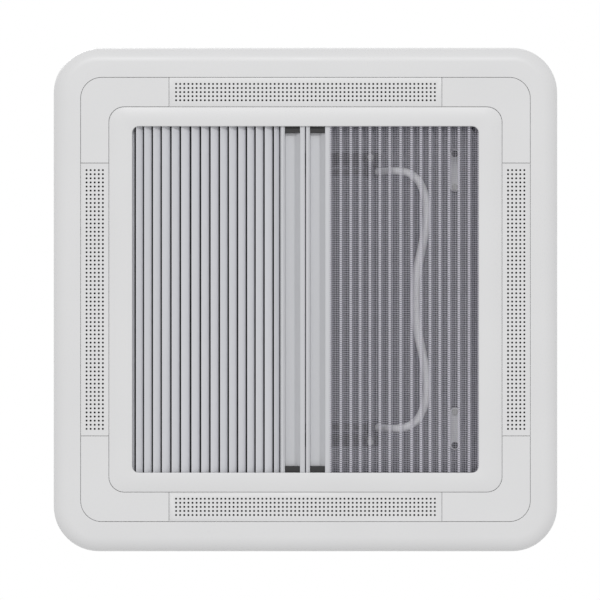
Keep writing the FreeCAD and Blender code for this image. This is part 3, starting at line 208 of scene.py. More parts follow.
class HatchColourSettings(PropertyGroup):
    """Colours of the finishes."""

    frame: FloatVectorProperty(
        name="Ceiling frame", description="Colour of the ceiling frame, its covers and grilles",
        default=(0.69, 0.69, 0.695), min=0, max=1, subtype="COLOR",
    )
    roof_frame: FloatVectorProperty(
        name="Roof frame", description="Colour of the outer frame",
        default=(0.72, 0.72, 0.71), min=0, max=1, subtype="COLOR",
    )
    handle: FloatVectorProperty(
        name="Handle", description="Colour of the bow handle and the catches",
        default=(0.93, 0.93, 0.94), min=0, max=1, subtype="COLOR",
    )
    smoke: FloatVectorProperty(
        name="Smoke tint", description="Colour that each layer of the dome lets through",
        default=(0.24, 0.24, 0.26), min=0, max=1, subtype="COLOR",
    )
    blackout: FloatVectorProperty(
        name="Blackout sheet", description="Colour of the blackout sheet",
        default=(0.635, 0.64, 0.67), min=0, max=1, subtype="COLOR",
    )
    # Painted shade: this dark colour stands in for the shade deep in the blackout's creases.
    crease: FloatVectorProperty(
        name="Blackout crease", description="Colour of the blackout sheet deep in its creases",
        default=(0.012, 0.012, 0.014), min=0, max=1, subtype="COLOR",
    )
    threads: FloatVectorProperty(
        name="Threads", description="Colour of the flyscreen's threads",
        default=(0.62, 0.61, 0.675), min=0, max=1, subtype="COLOR",
    )
    bars: FloatVectorProperty(
        name="Pull bars", description="Colour of the pull bars",
        default=(0.52, 0.525, 0.545), min=0, max=1, subtype="COLOR",
    )


class HatchStageSettings(PropertyGroup):
    """Floor, lamps and camera."""

    floor: FloatVectorProperty(
        name="Floor", description="Colour of the floor",
        default=(0.8, 0.8, 0.8), min=0, max=1, subtype="COLOR",
    )
    key: FloatProperty(
        name="Key light", description="Strength of the lamp that lights the ceiling side",
        default=0.93, min=0, max=10,
    )
    top: FloatProperty(
        name="Top light", description="Strength of the lamp that lights the roof side",
        default=1.6, min=0, max=10,
    )
    sky: FloatProperty(
        name="Sky", description="Strength of the even light all round", default=0.74, min=0, max=5,
    )
    distance: FloatProperty(
        name="Distance", description="From the camera to the face of the ceiling frame",
        default=3.0, min=0.5, max=10, unit="LENGTH",
    )
    view_width: FloatProperty(
        name="View width", description="Width of the picture at the face of the ceiling frame",
        default=0.593, min=0.1, max=5, unit="LENGTH",
    )


SETTINGS = {
    "moulding": HatchMouldingSettings, "grille": HatchGrilleSettings, "blind": HatchBlindSettings,
    "bar": HatchBarSettings, "colour": HatchColourSettings, "stage": HatchStageSettings,
}


def settings(name):
    return getattr(bpy.context.scene, f"hatch_{name}")


# Node trees


class Tree:
    """Adds nodes to a tree in rows and links them by the names of their sockets."""

    in_row, step_x, step_y = 7, 220, -300

    def __init__(self, tree):
        self.tree = tree

    def add(self, kind, inputs=None, **options):
        node = self.tree.nodes.new(kind)
        place = len(self.tree.nodes) - 1
        node.location = (self.step_x * (place % self.in_row), self.step_y * (place // self.in_row))
        for name, value in options.items():
            setattr(node, name, value)
        for name, value in (inputs or {}).items():
            if isinstance(value, bpy.types.NodeSocket):
                self.tree.links.new(value, node.inputs[name])
            else:
                node.inputs[name].default_value = value
        return node

    def math(self, operation, first, second):
        return self.add("ShaderNodeMath", {0: first, 1: second}, operation=operation).outputs[0]


def node_group(name, kind, inputs, outputs):
    """A node group with named sockets, given as {name: (socket type, default)} and {name: type}."""
    group = bpy.data.node_groups.new(name, kind)
    for label, (socket, default) in inputs.items():
        made = group.interface.new_socket(label, in_out="INPUT", socket_type=f"NodeSocket{socket}")
        if default is not None:
            made.default_value = default
    for label, socket in outputs.items():
        group.interface.new_socket(label, in_out="OUTPUT", socket_type=f"NodeSocket{socket}")
    tree = Tree(group)
    return group, tree, tree.add("NodeGroupInput").outputs, tree.add("NodeGroupOutput").inputs


# Effects that several finishes share


def grain_group():
    """Fine moulded or coated grain: a height for the bump, and a mask of slow change."""
    group, tree, given, result = node_group(
        "Fine grain", "ShaderNodeTree",
        {"Size": ("Float", 0.0006), "Patch": ("Float", 0.06)},
        {"Height": "Float", "Patches": "Float"},
    )
    place = tree.add("ShaderNodeTexCoord").outputs["Object"]
    fine = tree.add("ShaderNodeTexNoise", {
        "Vector": place, "Scale": tree.math("DIVIDE", 1.0, given["Size"]), "Detail": 3.0,
        "Roughness": 0.55,
    })
    slow = tree.add("ShaderNodeTexNoise", {
        "Vector": place, "Scale": tree.math("DIVIDE", 1.0, given["Patch"]), "Detail": 2.0,
    })
    group.links.new(fine.outputs["Fac"], result["Height"])
    group.links.new(slow.outputs["Fac"], result["Patches"])
    return group


def drawn_group():
    """Fine lines along Y, as on drawn or extruded metal and on woven sheet."""
    group, tree, given, result = node_group(
        "Drawn lines", "ShaderNodeTree",
        {"Width": ("Float", 0.0004), "Length": ("Float", 0.08)},
        {"Lines": "Float"},
    )
    place = tree.add("ShaderNodeTexCoord").outputs["Object"]
    parts = tree.add("ShaderNodeSeparateXYZ", {"Vector": place}).outputs
    across = tree.math("DIVIDE", parts["X"], given["Width"])
    along = tree.math("DIVIDE", parts["Y"], given["Length"])
    deep = tree.math("DIVIDE", parts["Z"], given["Width"])
    spot = tree.add("ShaderNodeCombineXYZ", {"X": across, "Y": along, "Z": deep}).outputs[0]
    lines = tree.add("ShaderNodeTexNoise", {"Vector": spot, "Scale": 1.0, "Detail": 2.0})
    group.links.new(lines.outputs["Fac"], result["Lines"])
    return group


EFFECTS = {"grain": grain_group, "drawn": drawn_group}
made_effects = {}


def effect(tree, name, **inputs):
    """Places a shared effect in a material, with its own values."""
    if name not in made_effects:
        made_effects[name] = EFFECTS[name]()
    node = tree.add("ShaderNodeGroup")
    node.node_tree = made_effects[name]
    for label, value in inputs.items():
        node.inputs[label].default_value = value
    return node.outputs


def bump(tree, height, strength, distance):
    return tree.add("ShaderNodeBump", {
        "Height": height, "Strength": strength, "Distance": distance,
    }).outputs["Normal"]


def spread(tree, mask, low, high):
    """Moves a mask from 0.3-0.7 to a range of its own."""
    return tree.add("ShaderNodeMapRange", {
        "Value": mask, "From Min": 0.3, "From Max": 0.7, "To Min": low, "To Max": high,
    }).outputs[0]


# Finishes


def surface(name):
    """A new material, its tree and its shader."""
    material = bpy.data.materials.new(name)
    material.use_nodes = True
    tree = Tree(material.node_tree)
    return material, tree, material.node_tree.nodes["Principled BSDF"]


def set_inputs(tree, shader, **values):
    for label, value in values.items():
        socket = shader.inputs[label.replace("_", " ")]
        if isinstance(value, bpy.types.NodeSocket):
            tree.tree.links.new(value, socket)
        else:
            socket.default_value = value


def moulded(name, colour, roughness, grain=0.0006, depth=0.00003, change=0.04, shade=0.985):
    """Moulded plastic or coated metal, whose gloss and shade change slowly over the surface."""
    material, tree, shader = surface(name)
    marks = effect(tree, "grain", Size=grain, Patch=0.07)
    shades = tree.add("ShaderNodeMix", {
        "Factor": spread(tree, marks["Patches"], 0.0, 1.0),
        "A": (*[part * shade for part in colour], 1), "B": (*colour, 1),
    }, data_type="RGBA")
    set_inputs(
        tree, shader, Base_Color=shades.outputs[2],
        Roughness=spread(tree, marks["Patches"], roughness - change, roughness + change),
        Normal=bump(tree, marks["Height"], 0.6, depth),
    )
    return material


def interior_plastic():
    return moulded("interior_plastic", settings("colour").frame, roughness=0.42)


def roof_frame_plastic():
    return moulded("roof_frame_plastic", settings("colour").roof_frame, roughness=0.4)


def white_plastic():
    return moulded("white_plastic", settings("colour").handle, roughness=0.3, grain=0.001)


def black_plastic():
    return moulded("black_plastic", (0.01, 0.01, 0.011), roughness=0.5)


def seal_rubber():
    return moulded("seal_rubber", (0.018, 0.018, 0.018), roughness=0.75, grain=0.0004)


def black_steel():
    return moulded(
        "black_steel", (0.02, 0.02, 0.021), roughness=0.45, grain=0.0009, depth=0.00008,
    )


def smoked_acrylic():
    material, tree, shader = surface("smoked_acrylic")
    set_inputs(
        tree, shader, Base_Color=(*settings("colour").smoke, 1), Roughness=0.02, IOR=1.49,
        Transmission_Weight=1.0,
    )
    return material


def zinc_steel():
    material, tree, shader = surface("zinc_steel")
    marks = effect(tree, "grain", Size=0.0008, Patch=0.01)
    set_inputs(
        tree, shader, Base_Color=(0.4, 0.4, 0.39, 1), Metallic=1.0,
        Roughness=spread(tree, marks["Patches"], 0.25, 0.42),
    )
    return material


def bar_aluminium():
    material, tree, shader = surface("bar_aluminium")
    lines = effect(tree, "drawn", Width=0.0003, Length=0.12)["Lines"]
    set_inputs(
        tree, shader, Base_Color=(*settings("colour").bars, 1), Metallic=0.35,
        Roughness=spread(tree, lines, 0.36, 0.5),
        Normal=bump(tree, lines, 0.35, 0.00002),
    )
    return material


def blackout_fabric():
    """Pale sheet whose underside turns dark towards the crease of each pleat."""
    material, tree, shader = surface("blackout_fabric")
    marks = effect(tree, "grain", Size=0.0009, Patch=0.03)
    lines = effect(tree, "drawn", Width=0.0008, Length=0.03)["Lines"]
    depth = tree.add("ShaderNodeAttribute", attribute_name="fold_depth").outputs["Fac"]
    # Painted shade: the mask below darkens the sheet's underside deep in each crease, where shade
    # falls.
    crease = tree.add("ShaderNodeMapRange", {
        "Value": depth, "From Min": 0.48, "From Max": 0.7, "To Min": 0.0, "To Max": 1.0,
    }).outputs[0]
    facing = tree.add("ShaderNodeSeparateXYZ", {
        "Vector": tree.add("ShaderNodeNewGeometry").outputs["True Normal"],
    }).outputs["Z"]
    under = tree.math("MULTIPLY", crease, tree.math("LESS_THAN", facing, 0.0))
    colours = settings("colour")
    shades = tree.add("ShaderNodeMix", {
        "Factor": under, "A": (*colours.blackout, 1), "B": (*colours.crease, 1),
    }, data_type="RGBA")
    set_inputs(
        tree, shader, Base_Color=shades.outputs[2], Roughness=0.6,
        Normal=bump(tree, tree.math("ADD", marks["Height"], lines), 0.5, 0.00005),
    )
    return material


def mesh_fabric():
    material, tree, shader = surface("mesh_fabric")
    marks = effect(tree, "grain", Size=0.0006, Patch=0.02)
    set_inputs(
        tree, shader, Base_Color=(*settings("colour").threads, 1),
        Roughness=spread(tree, marks["Patches"], 0.55, 0.7),
    )
    return material


FINISHES = {
    function.__name__: function
    for function in (
        interior_plastic, roof_frame_plastic, white_plastic, black_plastic, seal_rubber, black_steel,
        smoked_acrylic, zinc_steel, bar_aluminium, blackout_fabric, mesh_fabric,
    )
}
made_finishes = {}


def finish(slot):
    if slot not in made_finishes:
        made_finishes[slot] = FINISHES[slot]()
    return made_finishes[slot]


# Pieces and meshes


def add_object(name, mesh):
    piece = bpy.data.objects.new(name, mesh)
    bpy.context.scene.collection.objects.link(piece)
    return piece


def mesh_of(name, points, faces):
    """A mesh from points in metres, with its faces turned outwards."""
    mesh = bpy.data.meshes.new(name)
    mesh.from_pydata([tuple(point) for point in points], [], faces)
    turn_outwards(mesh)
    return mesh


def turn_outwards(mesh, merge=1e-7):
    shape = bmesh.new()
    shape.from_mesh(mesh)
    bmesh.ops.remove_doubles(shape, verts=shape.verts, dist=merge)
    bmesh.ops.recalc_face_normals(shape, faces=shape.faces)
    shape.to_mesh(mesh)
    shape.free()


def smooth(mesh, degrees=35):
    mesh.shade_smooth()
    mesh.set_sharp_from_angle(angle=math.radians(degrees))


def keep_plain(piece):
    """Puts what the modifiers make in the piece's own mesh, and takes the modifiers off."""
    graph = bpy.context.evaluated_depsgraph_get()
    made = bpy.data.meshes.new_from_object(piece.evaluated_get(graph), depsgraph=graph)
    piece.modifiers.clear()
    piece.data = made


def soften(piece, width, segments=2, degrees=30):
    """Rounds the sharp edges of a piece."""
    piece.data.shade_smooth()
    bevel = piece.modifiers.new("edge", "BEVEL")
    bevel.width = width
    bevel.segments = segments
    bevel.limit_method = "ANGLE"
    bevel.angle_limit = math.radians(degrees)
    bevel.harden_normals = True
    keep_plain(piece)


def settle(piece, node, *others):
    """Lets a finished piece take the place of its CAD nodes and move with their body."""
    slot = SLOT[node]
    piece.data.materials.clear()
    piece.data.materials.append(finish(slot))
    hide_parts(node, *others)
    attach(piece, BODY[node])


def cad_copy(node):
    """The node's mesh as one closed skin with whole flat faces."""
    mesh = frame["nodes"][node].data.copy()
    shape = bmesh.new()
    shape.from_mesh(mesh)
    bmesh.ops.remove_doubles(shape, verts=shape.verts, dist=1e-6)
    bmesh.ops.dissolve_limit(
        shape, angle_limit=math.radians(0.5), verts=shape.verts, edges=shape.edges,
    )
    shape.to_mesh(mesh)
    shape.free()
    for name in ("custom_normal", "sharp_edge", "sharp_face"):
        if name in mesh.attributes:
            mesh.attributes.remove(mesh.attributes[name])
    return mesh


def softened(node, width):
    """The node's shape with its sharp edges rounded, as a piece of its own."""
    piece = add_object(f"{node}_finished", cad_copy(node))
    soften(piece, width)
    settle(piece, node)


def extruded(name, section, start, end):
    """A bar along Y, from points (x, z) of its section."""
    count = len(section)
    points = [(x, y, z) for y in (start, end) for x, z in section]
    faces = [tuple(range(count)), tuple(range(2 * count - 1, count - 1, -1))]
    faces += [(i, (i + 1) % count, count + (i + 1) % count, count + i) for i in range(count)]
    return mesh_of(name, points, faces)


def curve_through(points, steps):
    """Points on a smooth line through all the given ones."""
    line = []
    for i in range(len(points) - 1):
        before = points[max(i - 1, 0)]
        start, end = points[i], points[i + 1]
        after = points[min(i + 2, len(points) - 1)]
        for step in range(steps):
            t = step / steps
            line.append(0.5 * (
                2 * start + (end - before) * t + (2 * before - 5 * start + 4 * end - after) * t * t
                + (3 * start - before - 3 * end + after) * t ** 3
            ))
    return line + [points[-1]]


def tube(name, line, radii, sides=20):
    """A closed round tube along a line, with its own radius at each point."""
    points, faces = [], []
    up = Vector((0, 0, 1))
    for i, (spot, radius) in enumerate(zip(line, radii)):
        ahead = (line[min(i + 1, len(line) - 1)] - line[max(i - 1, 0)]).normalized()
        side = up.cross(ahead).normalized()
        up = ahead.cross(side)
        for step in range(sides):
            angle = 2 * math.pi * step / sides
            points.append(spot + radius * (math.cos(angle) * side + math.sin(angle) * up))
    for ring in range(len(line) - 1):
        for step in range(sides):
            a, b = ring * sides + step, ring * sides + (step + 1) % sides
            faces.append((a, b, b + sides, a + sides))
    last = (len(line) - 1) * sides
    faces += [tuple(range(sides - 1, -1, -1)), tuple(range(last, last + sides))]
    return mesh_of(name, points, faces)


def grown(piece, tree, **values):
    """Runs a Geometry Nodes tree on a piece and keeps what it makes as a plain mesh."""
    modifier = piece.modifiers.new(tree.name, "NODES")
    modifier.node_group = tree
    for item in tree.interface.items_tree:
        if item.name.replace(" ", "_") in values:
            modifier[item.identifier] = values[item.name.replace(" ", "_")]
    keep_plain(piece)


def copies(tree, shape, points):
    """Puts a shape on each point, as real geometry."""
    placed = tree.add("GeometryNodeInstanceOnPoints", {"Points": points, "Instance": shape})
    return tree.add("GeometryNodeRealizeInstances", {
        "Geometry": placed.outputs["Instances"],
    }).outputs["Geometry"]


def finish_tree(tree, shape, material, result):
    """Ends a tree with real geometry in its own finish."""
    whole = tree.add("GeometryNodeRealizeInstances", {"Geometry": shape}).outputs["Geometry"]
    finished = tree.add("GeometryNodeSetMaterial", {"Geometry": whole, "Material": material})
    tree.tree.links.new(finished.outputs["Geometry"], result)


# Vent grilles

DRILL_DEPTH = 0.01
# The dark plate behind a grille, which stands in for a gauze and paints the shade of the cavity
# behind the holes: how far it reaches past the holes, its gap to the plate and its thickness
SHADE_GAUZE_MARGIN, SHADE_GAUZE_GAP, SHADE_GAUZE_THICKNESS = 0.0008, 0.0001, 0.0004


def perforation_tree():
    """Cuts rows of round holes through a plate that lies in the XY plane."""
    group, tree, given, result = node_group(
        "Perforated plate", "GeometryNodeTree",
        {
            "Plate": ("Geometry", None), "Middle": ("Vector", (0, 0, 0)),
            "Length X": ("Float", 0.1), "Length Y": ("Float", 0.02),
            "Count X": ("Int", 10), "Count Y": ("Int", 5),
            "Radius": ("Float", 0.001), "Depth": ("Float", 0.01), "Finish": ("Material", None),
        },
        {"Plate": "Geometry"},
    )
    grid = tree.add("GeometryNodeMeshGrid", {
        "Size X": given["Length X"], "Size Y": given["Length Y"],
        "Vertices X": given["Count X"], "Vertices Y": given["Count Y"],
    }).outputs["Mesh"]
    places = tree.add("GeometryNodeTransform", {
        "Geometry": grid, "Translation": given["Middle"],
    }).outputs["Geometry"]
    drill = tree.add("GeometryNodeMeshCylinder", {
        "Vertices": 12, "Radius": given["Radius"], "Depth": given["Depth"],
    }).outputs["Mesh"]
    drilled = tree.add("GeometryNodeMeshBoolean", {
        "Mesh 1": given["Plate"], "Mesh 2": copies(tree, drill, places),
    }, operation="DIFFERENCE", solver="EXACT").outputs["Mesh"]
    finish_tree(tree, drilled, given["Finish"], result["Plate"])
    return group


def plate(name, low, high):
    """A box from one corner to the other."""
    points = [(x, y, z) for z in (low.z, high.z) for y in (low.y, high.y) for x in (low.x, high.x)]
    faces = [(0, 2, 3, 1), (4, 5, 7, 6), (0, 1, 5, 4), (2, 6, 7, 3), (0, 4, 6, 2), (1, 3, 7, 5)]
    return mesh_of(name, points, faces)


class HATCH_OT_vent_grilles(Operator):
    """Builds the four vent grilles with their rows of round holes and the gauze behind them"""

    bl_idname = "hatch.vent_grilles"
    bl_label = "Vent grilles"

    def execute(self, context):
        sizes = settings("grille")
        tree = perforation_tree()
        for side in ("back", "front", "right", "left"):
            node = f"vent_grille_{side}"
            low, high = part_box(node)
            middle = (low + high) / 2
            piece = add_object(f"{node}_finished", plate(node, low, high))
            soften(piece, settings("moulding").fine_edge)
            long_way = (sizes.holes - 1) * sizes.pitch
            across = (sizes.rows - 1) * sizes.row_pitch
            along_x = side in ("back", "front")
            lengths = (long_way, across) if along_x else (across, long_way)
            counts = (sizes.holes, sizes.rows) if along_x else (sizes.rows, sizes.holes)
            grown(
                piece, tree, Middle=middle, Length_X=lengths[0], Length_Y=lengths[1],
                Count_X=counts[0], Count_Y=counts[1], Radius=sizes.hole / 2, Depth=DRILL_DEPTH,
                Finish=finish(SLOT[node]),
            )
            smooth(piece.data)
            settle(piece, node)
            # Painted shade: a solid black plate stands behind the holes in place of a gauze, so that
            # they look dark as if in the shade of the cavity behind them.
            reach = Vector((lengths[0] / 2 + SHADE_GAUZE_MARGIN, lengths[1] / 2 + SHADE_GAUZE_MARGIN, 0))
            under = Vector((middle.x, middle.y, high.z + SHADE_GAUZE_GAP))
            shade_gauze = add_object(f"vent_gauze_{side}", plate(
                node, under - reach, under + reach + Vector((0, 0, SHADE_GAUZE_THICKNESS)),
            ))
            shade_gauze.data.materials.append(finish("seal_rubber"))
            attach(shade_gauze, BODY[node])
        return {"FINISHED"}


# Pleated blinds

# Where the crease of a blackout pleat lies, as a share of the pleat's pitch
CREASE_PLACE = 0.965


def fold_line(start, valley, end, low, high, bulge, steps):
    """The section of a flyscreen pleat, as points (x, z): from a ridge by its valley to the next."""
    line = []
    for (x1, z1), (x2, z2) in (((start, low), (valley, high)), ((valley, high), (end, low))):
        way = Vector((x2 - x1, z2 - z1))
        out = Vector((way.y, -way.x)).normalized() * bulge
        for step in range(steps):
            t = step / steps
            spot = Vector((x1, z1)) + way * t + out * (4 * t * (1 - t))
            line.append((spot.x, spot.y))
    return line + [(end, low)]


def shingle_line(start, end, low, high, sizes):
    """The section of a blackout pleat: a broad face, a dive into its crease and a steep way back."""
    face_steps = (5, 3, 3)
    pitch, depth = end - start, high - low
    turn = (start + pitch * sizes.broad_share, low + depth * sizes.broad_drop)
    crease = (start + pitch * CREASE_PLACE, high)
    corners = [(start, low), turn, crease, (end, low)]
    line = []
    for (x1, z1), (x2, z2), steps in zip(corners, corners[1:], face_steps):
        line += [(x1 + (x2 - x1) * i / steps, z1 + (z2 - z1) * i / steps) for i in range(steps)]
    return line + [corners[-1]]


def blend_pleat(piece):
    """Lets a pleat stretch evenly between the frame and its pull bar."""
    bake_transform(piece)


class HATCH_OT_blackout(Operator):
    """Builds the pleated blackout sheet, one piece for each pleat"""

    bl_idname = "hatch.blackout"
    bl_label = "Blackout sheet"

    def execute(self, context):
        sizes = settings("blind")
        low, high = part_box("blackout_pleats")
        folds = [x / 1000 for x in BLACKOUT_FOLDS]
        ridge, valley = low.z + sizes.sheet, high.z - sizes.sheet
        steps = 12
        for number, (first, last) in enumerate(zip(folds, [*folds[1:], high.x]), 1):
            line = shingle_line(first, last, ridge, valley, sizes)
            points = [
                (x, low.y + (high.y - low.y) * step / steps, z)
                for step in range(steps + 1) for x, z in line
            ]
            count = len(line)
            faces = [
                (spot, spot + 1, spot + count + 1, spot + count)
                for row in range(steps) for spot in range(row * count, (row + 1) * count - 1)
            ]
            name = f"blackout_pleat_{number:02d}"
            piece = add_object(name, mesh_of(name, points, faces))
            # fold_depth feeds the painted crease shade of the blackout_fabric finish.
            depth = piece.data.attributes.new("fold_depth", "FLOAT", "POINT")
            for point, vertex in zip(depth.data, piece.data.vertices):
                point.value = (vertex.co.z - ridge) / (valley - ridge)
            solid = piece.modifiers.new("sheet", "SOLIDIFY")
            solid.thickness = sizes.sheet
            solid.offset = 0
            keep_plain(piece)
            smooth(piece.data, degrees=40)
            piece.data.materials.append(finish("blackout_fabric"))
            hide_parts("blackout_pleats")
            blend_pleat(piece)
        return {"FINISHED"}


def straight_line(tree, length):
    """A straight curve along Y, from the origin."""
    return tree.add("GeometryNodeCurvePrimitiveLine", {
        "Start": (0, 0, 0), "End": tree.add("ShaderNodeCombineXYZ", {"Y": length}).outputs[0],
    }).outputs["Curve"]


def netting_tree():
    """Weaves a pleat of netting along a fold line: threads both ways, and stitches at the fold."""
    group, tree, given, result = node_group(
        "Pleated netting", "GeometryNodeTree",
        {
            "Fold": ("Geometry", None), "Width": ("Float", 0.3), "Spacing": ("Float", 0.002),
            "Thread": ("Vector", (0.0003, 0.0006, 1)), "Fold Thread": ("Vector", (0.0008, 0.0006, 1)),
            "Fold Place": ("Vector", (0, 0, 0)), "Stitch": ("Float", 0.5),
            "Finish": ("Material", None),
        },
        {"Netting": "Geometry"},
    )
    line = tree.add("GeometryNodeMeshToCurve", {"Mesh": given["Fold"]}).outputs["Curve"]
    across = tree.math("DIVIDE", given["Width"], given["Spacing"])
    rows = tree.add("GeometryNodeMeshLine", {
        "Count": across, "Start Location": (0, 0, 0),
        "Offset": tree.add("ShaderNodeCombineXYZ", {"Y": given["Spacing"]}).outputs[0],
    }, mode="OFFSET").outputs["Mesh"]
    stepped = tree.add("GeometryNodeResampleCurve", {
        "Curve": line, "Length": given["Spacing"],
    }, mode="LENGTH").outputs["Curve"]
    marks = tree.add("GeometryNodeCurveToPoints", {"Curve": stepped}, mode="EVALUATED")
    both_ways = tree.add("GeometryNodeJoinGeometry")
    for lines in (
        copies(tree, line, rows),
        copies(tree, straight_line(tree, given["Width"]), marks.outputs["Points"]),
    ):
        group.links.new(lines, both_ways.inputs[0])
    stitch = straight_line(tree, tree.math("MULTIPLY", given["Spacing"], given["Stitch"]))
    stitches = tree.add("GeometryNodeTransform", {
        "Geometry": copies(tree, stitch, rows), "Translation": given["Fold Place"],
    })
    threads = tree.add("GeometryNodeJoinGeometry")
    for lines, size in (
        (both_ways.outputs[0], "Thread"), (stitches.outputs["Geometry"], "Fold Thread"),
    ):
        ring = tree.add("GeometryNodeCurvePrimitiveCircle", {"Resolution": 6, "Radius": 0.5})
        profile = tree.add("GeometryNodeTransform", {
            "Geometry": ring.outputs["Curve"], "Scale": given[size],
        })
        upright = tree.add("GeometryNodeSetCurveNormal", {"Curve": lines}, mode="Z_UP")
        solid = tree.add("GeometryNodeCurveToMesh", {
            "Curve": upright.outputs[0], "Profile Curve": profile.outputs["Geometry"],
            "Fill Caps": True,
        })
        group.links.new(solid.outputs["Mesh"], threads.inputs[0])
    finish_tree(tree, threads.outputs[0], given["Finish"], result["Netting"])
    return group


class HATCH_OT_flyscreen(Operator):
    """Weaves the pleated flyscreen, one piece for each pleat"""

    bl_idname = "hatch.flyscreen"
    bl_label = "Flyscreen"

    def execute(self, context):
        sizes = settings("blind")
        low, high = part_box("flyscreen_pleats")
        tree = netting_tree()
        folds = [x / 1000 for x in FLYSCREEN_FOLDS]
        ridge = low.z + sizes.thread_height / 2
        valley = ridge + sizes.screen_depth
        tail = folds.pop()
        for number, (first, last) in enumerate(zip(folds, folds[1:]), 1):
            top = first + (last - first) * sizes.screen_share
            line = fold_line(first, top, last, ridge, valley, sizes.bulge, steps=3)
            if number == len(folds) - 1:
                line += [(last + (tail - last) * t, ridge + (valley - ridge) * t) for t in (0.5, 1)]
                last = tail
            name = f"flyscreen_pleat_{number:02d}"
            mesh = bpy.data.meshes.new(name)
            mesh.from_pydata(
                [(x, low.y + sizes.thread, z) for x, z in line],
                [(i, i + 1) for i in range(len(line) - 1)], [],
            )
            piece = add_object(name, mesh)
            grown(
                piece, tree, Width=high.y - low.y - 2 * sizes.thread, Spacing=sizes.thread_spacing,
                Thread=(sizes.thread, sizes.thread_height, 1),
                Fold_Thread=(sizes.fold_thread, sizes.thread_height, 1),
                Fold_Place=(first, low.y + sizes.thread, ridge), Stitch=sizes.stitch,
                Finish=finish("mesh_fabric"),
            )
            piece.data.shade_smooth()
            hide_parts("flyscreen_pleats")
            blend_pleat(piece)
        return {"FINISHED"}


# Pull bars


def bar_section(left, right, low, high, sizes):
    """The bar's section: two lips, the left with a fine groove, and a finger channel between them."""
    edge, web, slope_drop = 0.0005, 0.0034, 0.004
    part = edge * EDGE_MIDDLE
    floor = high - web
    inner = left + sizes.lip
    slope_start = inner + sizes.floor
    slope_end = slope_start + sizes.slope
    groove, slant = sizes.groove, 0.2 * sizes.groove
    groove_start, groove_end = inner - 2.4 * groove, inner - groove
    return [
        (left, high), (left, low + edge), (left + part, low + part), (left + edge, low),
        (groove_start, low), (groove_start + slant, low + groove),
        (groove_end - slant, low + groove), (groove_end, low),
        (inner - part, low + part / 2), (inner, low + edge), (inner, floor - edge),
        (inner + edge, floor), (slope_start - edge, floor), (slope_start + edge, floor - edge * 0.7),
        (slope_end, floor - slope_drop), (slope_end, low + edge),
        (slope_end + part, low + part), (slope_end + edge, low),
        (right - edge, low), (right - part, low + part), (right, low + edge), (right, high),
    ]


class HATCH_OT_pull_bars(Operator):
    """Builds the two pull bars and their black ends"""

    bl_idname = "hatch.pull_bars"
    bl_label = "Pull bars"

    def execute(self, context):
        for bar in ("blackout_bar", "flyscreen_bar"):
            strip, rail = f"{bar}_strip", f"{bar}_rail"
            low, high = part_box(strip)[0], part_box(rail)[1]
            section = bar_section(low.x, high.x, low.z, high.z, settings("bar"))
            piece = add_object(f"{bar}_finished", extruded(bar, section, low.y, high.y))
            smooth(piece.data, degrees=28)
            settle(piece, bar, strip, rail)
            softened(f"{bar}_ends", settings("moulding").edge)
        return {"FINISHED"}


# Bow handle and its arms


class HATCH_OT_bail(Operator):
    """Builds the bow handle with its arms, brackets, pins and slides"""

    bl_idname = "hatch.bail"
    bl_label = "Bow handle"

    def execute(self, context):
        spots = [Vector(place) / 1000 for place, _ in BOW_LINE]
        radii = [Vector((radius / 1000, 0, 0)) for _, radius in BOW_LINE]
        half = curve_through(spots, steps=4)
        half_radii = [radius.x for radius in curve_through(radii, steps=4)]
        other = [Vector((spot.x, -spot.y, spot.z)) for spot in half[-2::-1]]
        line = half + other
        piece = add_object("bow_handle", tube("bow_handle", line, half_radii + half_radii[-2::-1]))
        smooth(piece.data, degrees=50)
        settle(piece, "bail_grip")
        for node in ("bail_arms", "bail_brackets"):
            softened(node, settings("moulding").edge)
        for node in ("bail_bracket_screws", "bail_pins", "slide_pins", "slide_bushes"):
            softened(node, settings("moulding").fine_edge)
        return {"FINISHED"}


# Pieces that keep their CAD shape


def operator_for(name, label, doc, nodes, fine=()):
    """An operator that finishes like pieces which keep their CAD shape."""

    def execute(self, context):
        for node in nodes:
            softened(node, settings("moulding").edge)
        for node in fine:
            softened(node, settings("moulding").fine_edge)
        return {"FINISHED"}

    return type(f"HATCH_OT_{name}", (Operator,), {
        "__doc__": doc, "bl_idname": f"hatch.{name}", "bl_label": label, "execute": execute,
    })


HATCH_OT_roof_frame = operator_for(
    "roof_frame", "Roof frame", "Finishes the outer frame, its seal, strikes and clamps",
    ("outer_frame", "dome_gasket", "catch_strikes", "clamp_brackets"), ("clamp_screws",),
)
HATCH_OT_dome = operator_for(
    "dome", "Dome", "Finishes the two skins of the dome and what is bonded to them",
    ("outer_dome", "inner_pane", "pane_spacer"), ("rail_pads", "catch_posts"),
)
HATCH_OT_hinges = operator_for(
    "hinges", "Hinges", "Finishes the hinge halves and their pins",
    ("hinge_brackets", "hinge_leaves"), ("hinge_pins",),
)
HATCH_OT_rails = operator_for(
    "rails", "Guide rails", "Finishes the notched rails under the dome and their screws",
    ("guide_rail_back", "guide_rail_front"), ("rail_screws",),
)
HATCH_OT_catches = operator_for(
    "catches", "Catches", "Finishes the two swivel catches with their screws and tips",
    ("catch_lever_back", "catch_lever_front"),
    ("catch_screw_back", "catch_screw_front", "catch_tip_back", "catch_tip_front"),
)
HATCH_OT_ceiling_frame = operator_for(
    "ceiling_frame", "Ceiling frame", "Finishes the ceiling frame and its corner covers",
    (
        "interior_frame", "corner_cover_back_right", "corner_cover_back_left",
        "corner_cover_front_right", "corner_cover_front_left",
    ),
)
HATCH_OT_tracks = operator_for(
    "tracks", "Blind tracks", "Finishes the tracks, end rails and corner joints of the blinds",
    ("blind_track_back", "blind_track_front", "flyscreen_end_rail", "blackout_end_rail"),
    ("track_corners",),
)


# Window surround

OUTER_CORNER = 0.015
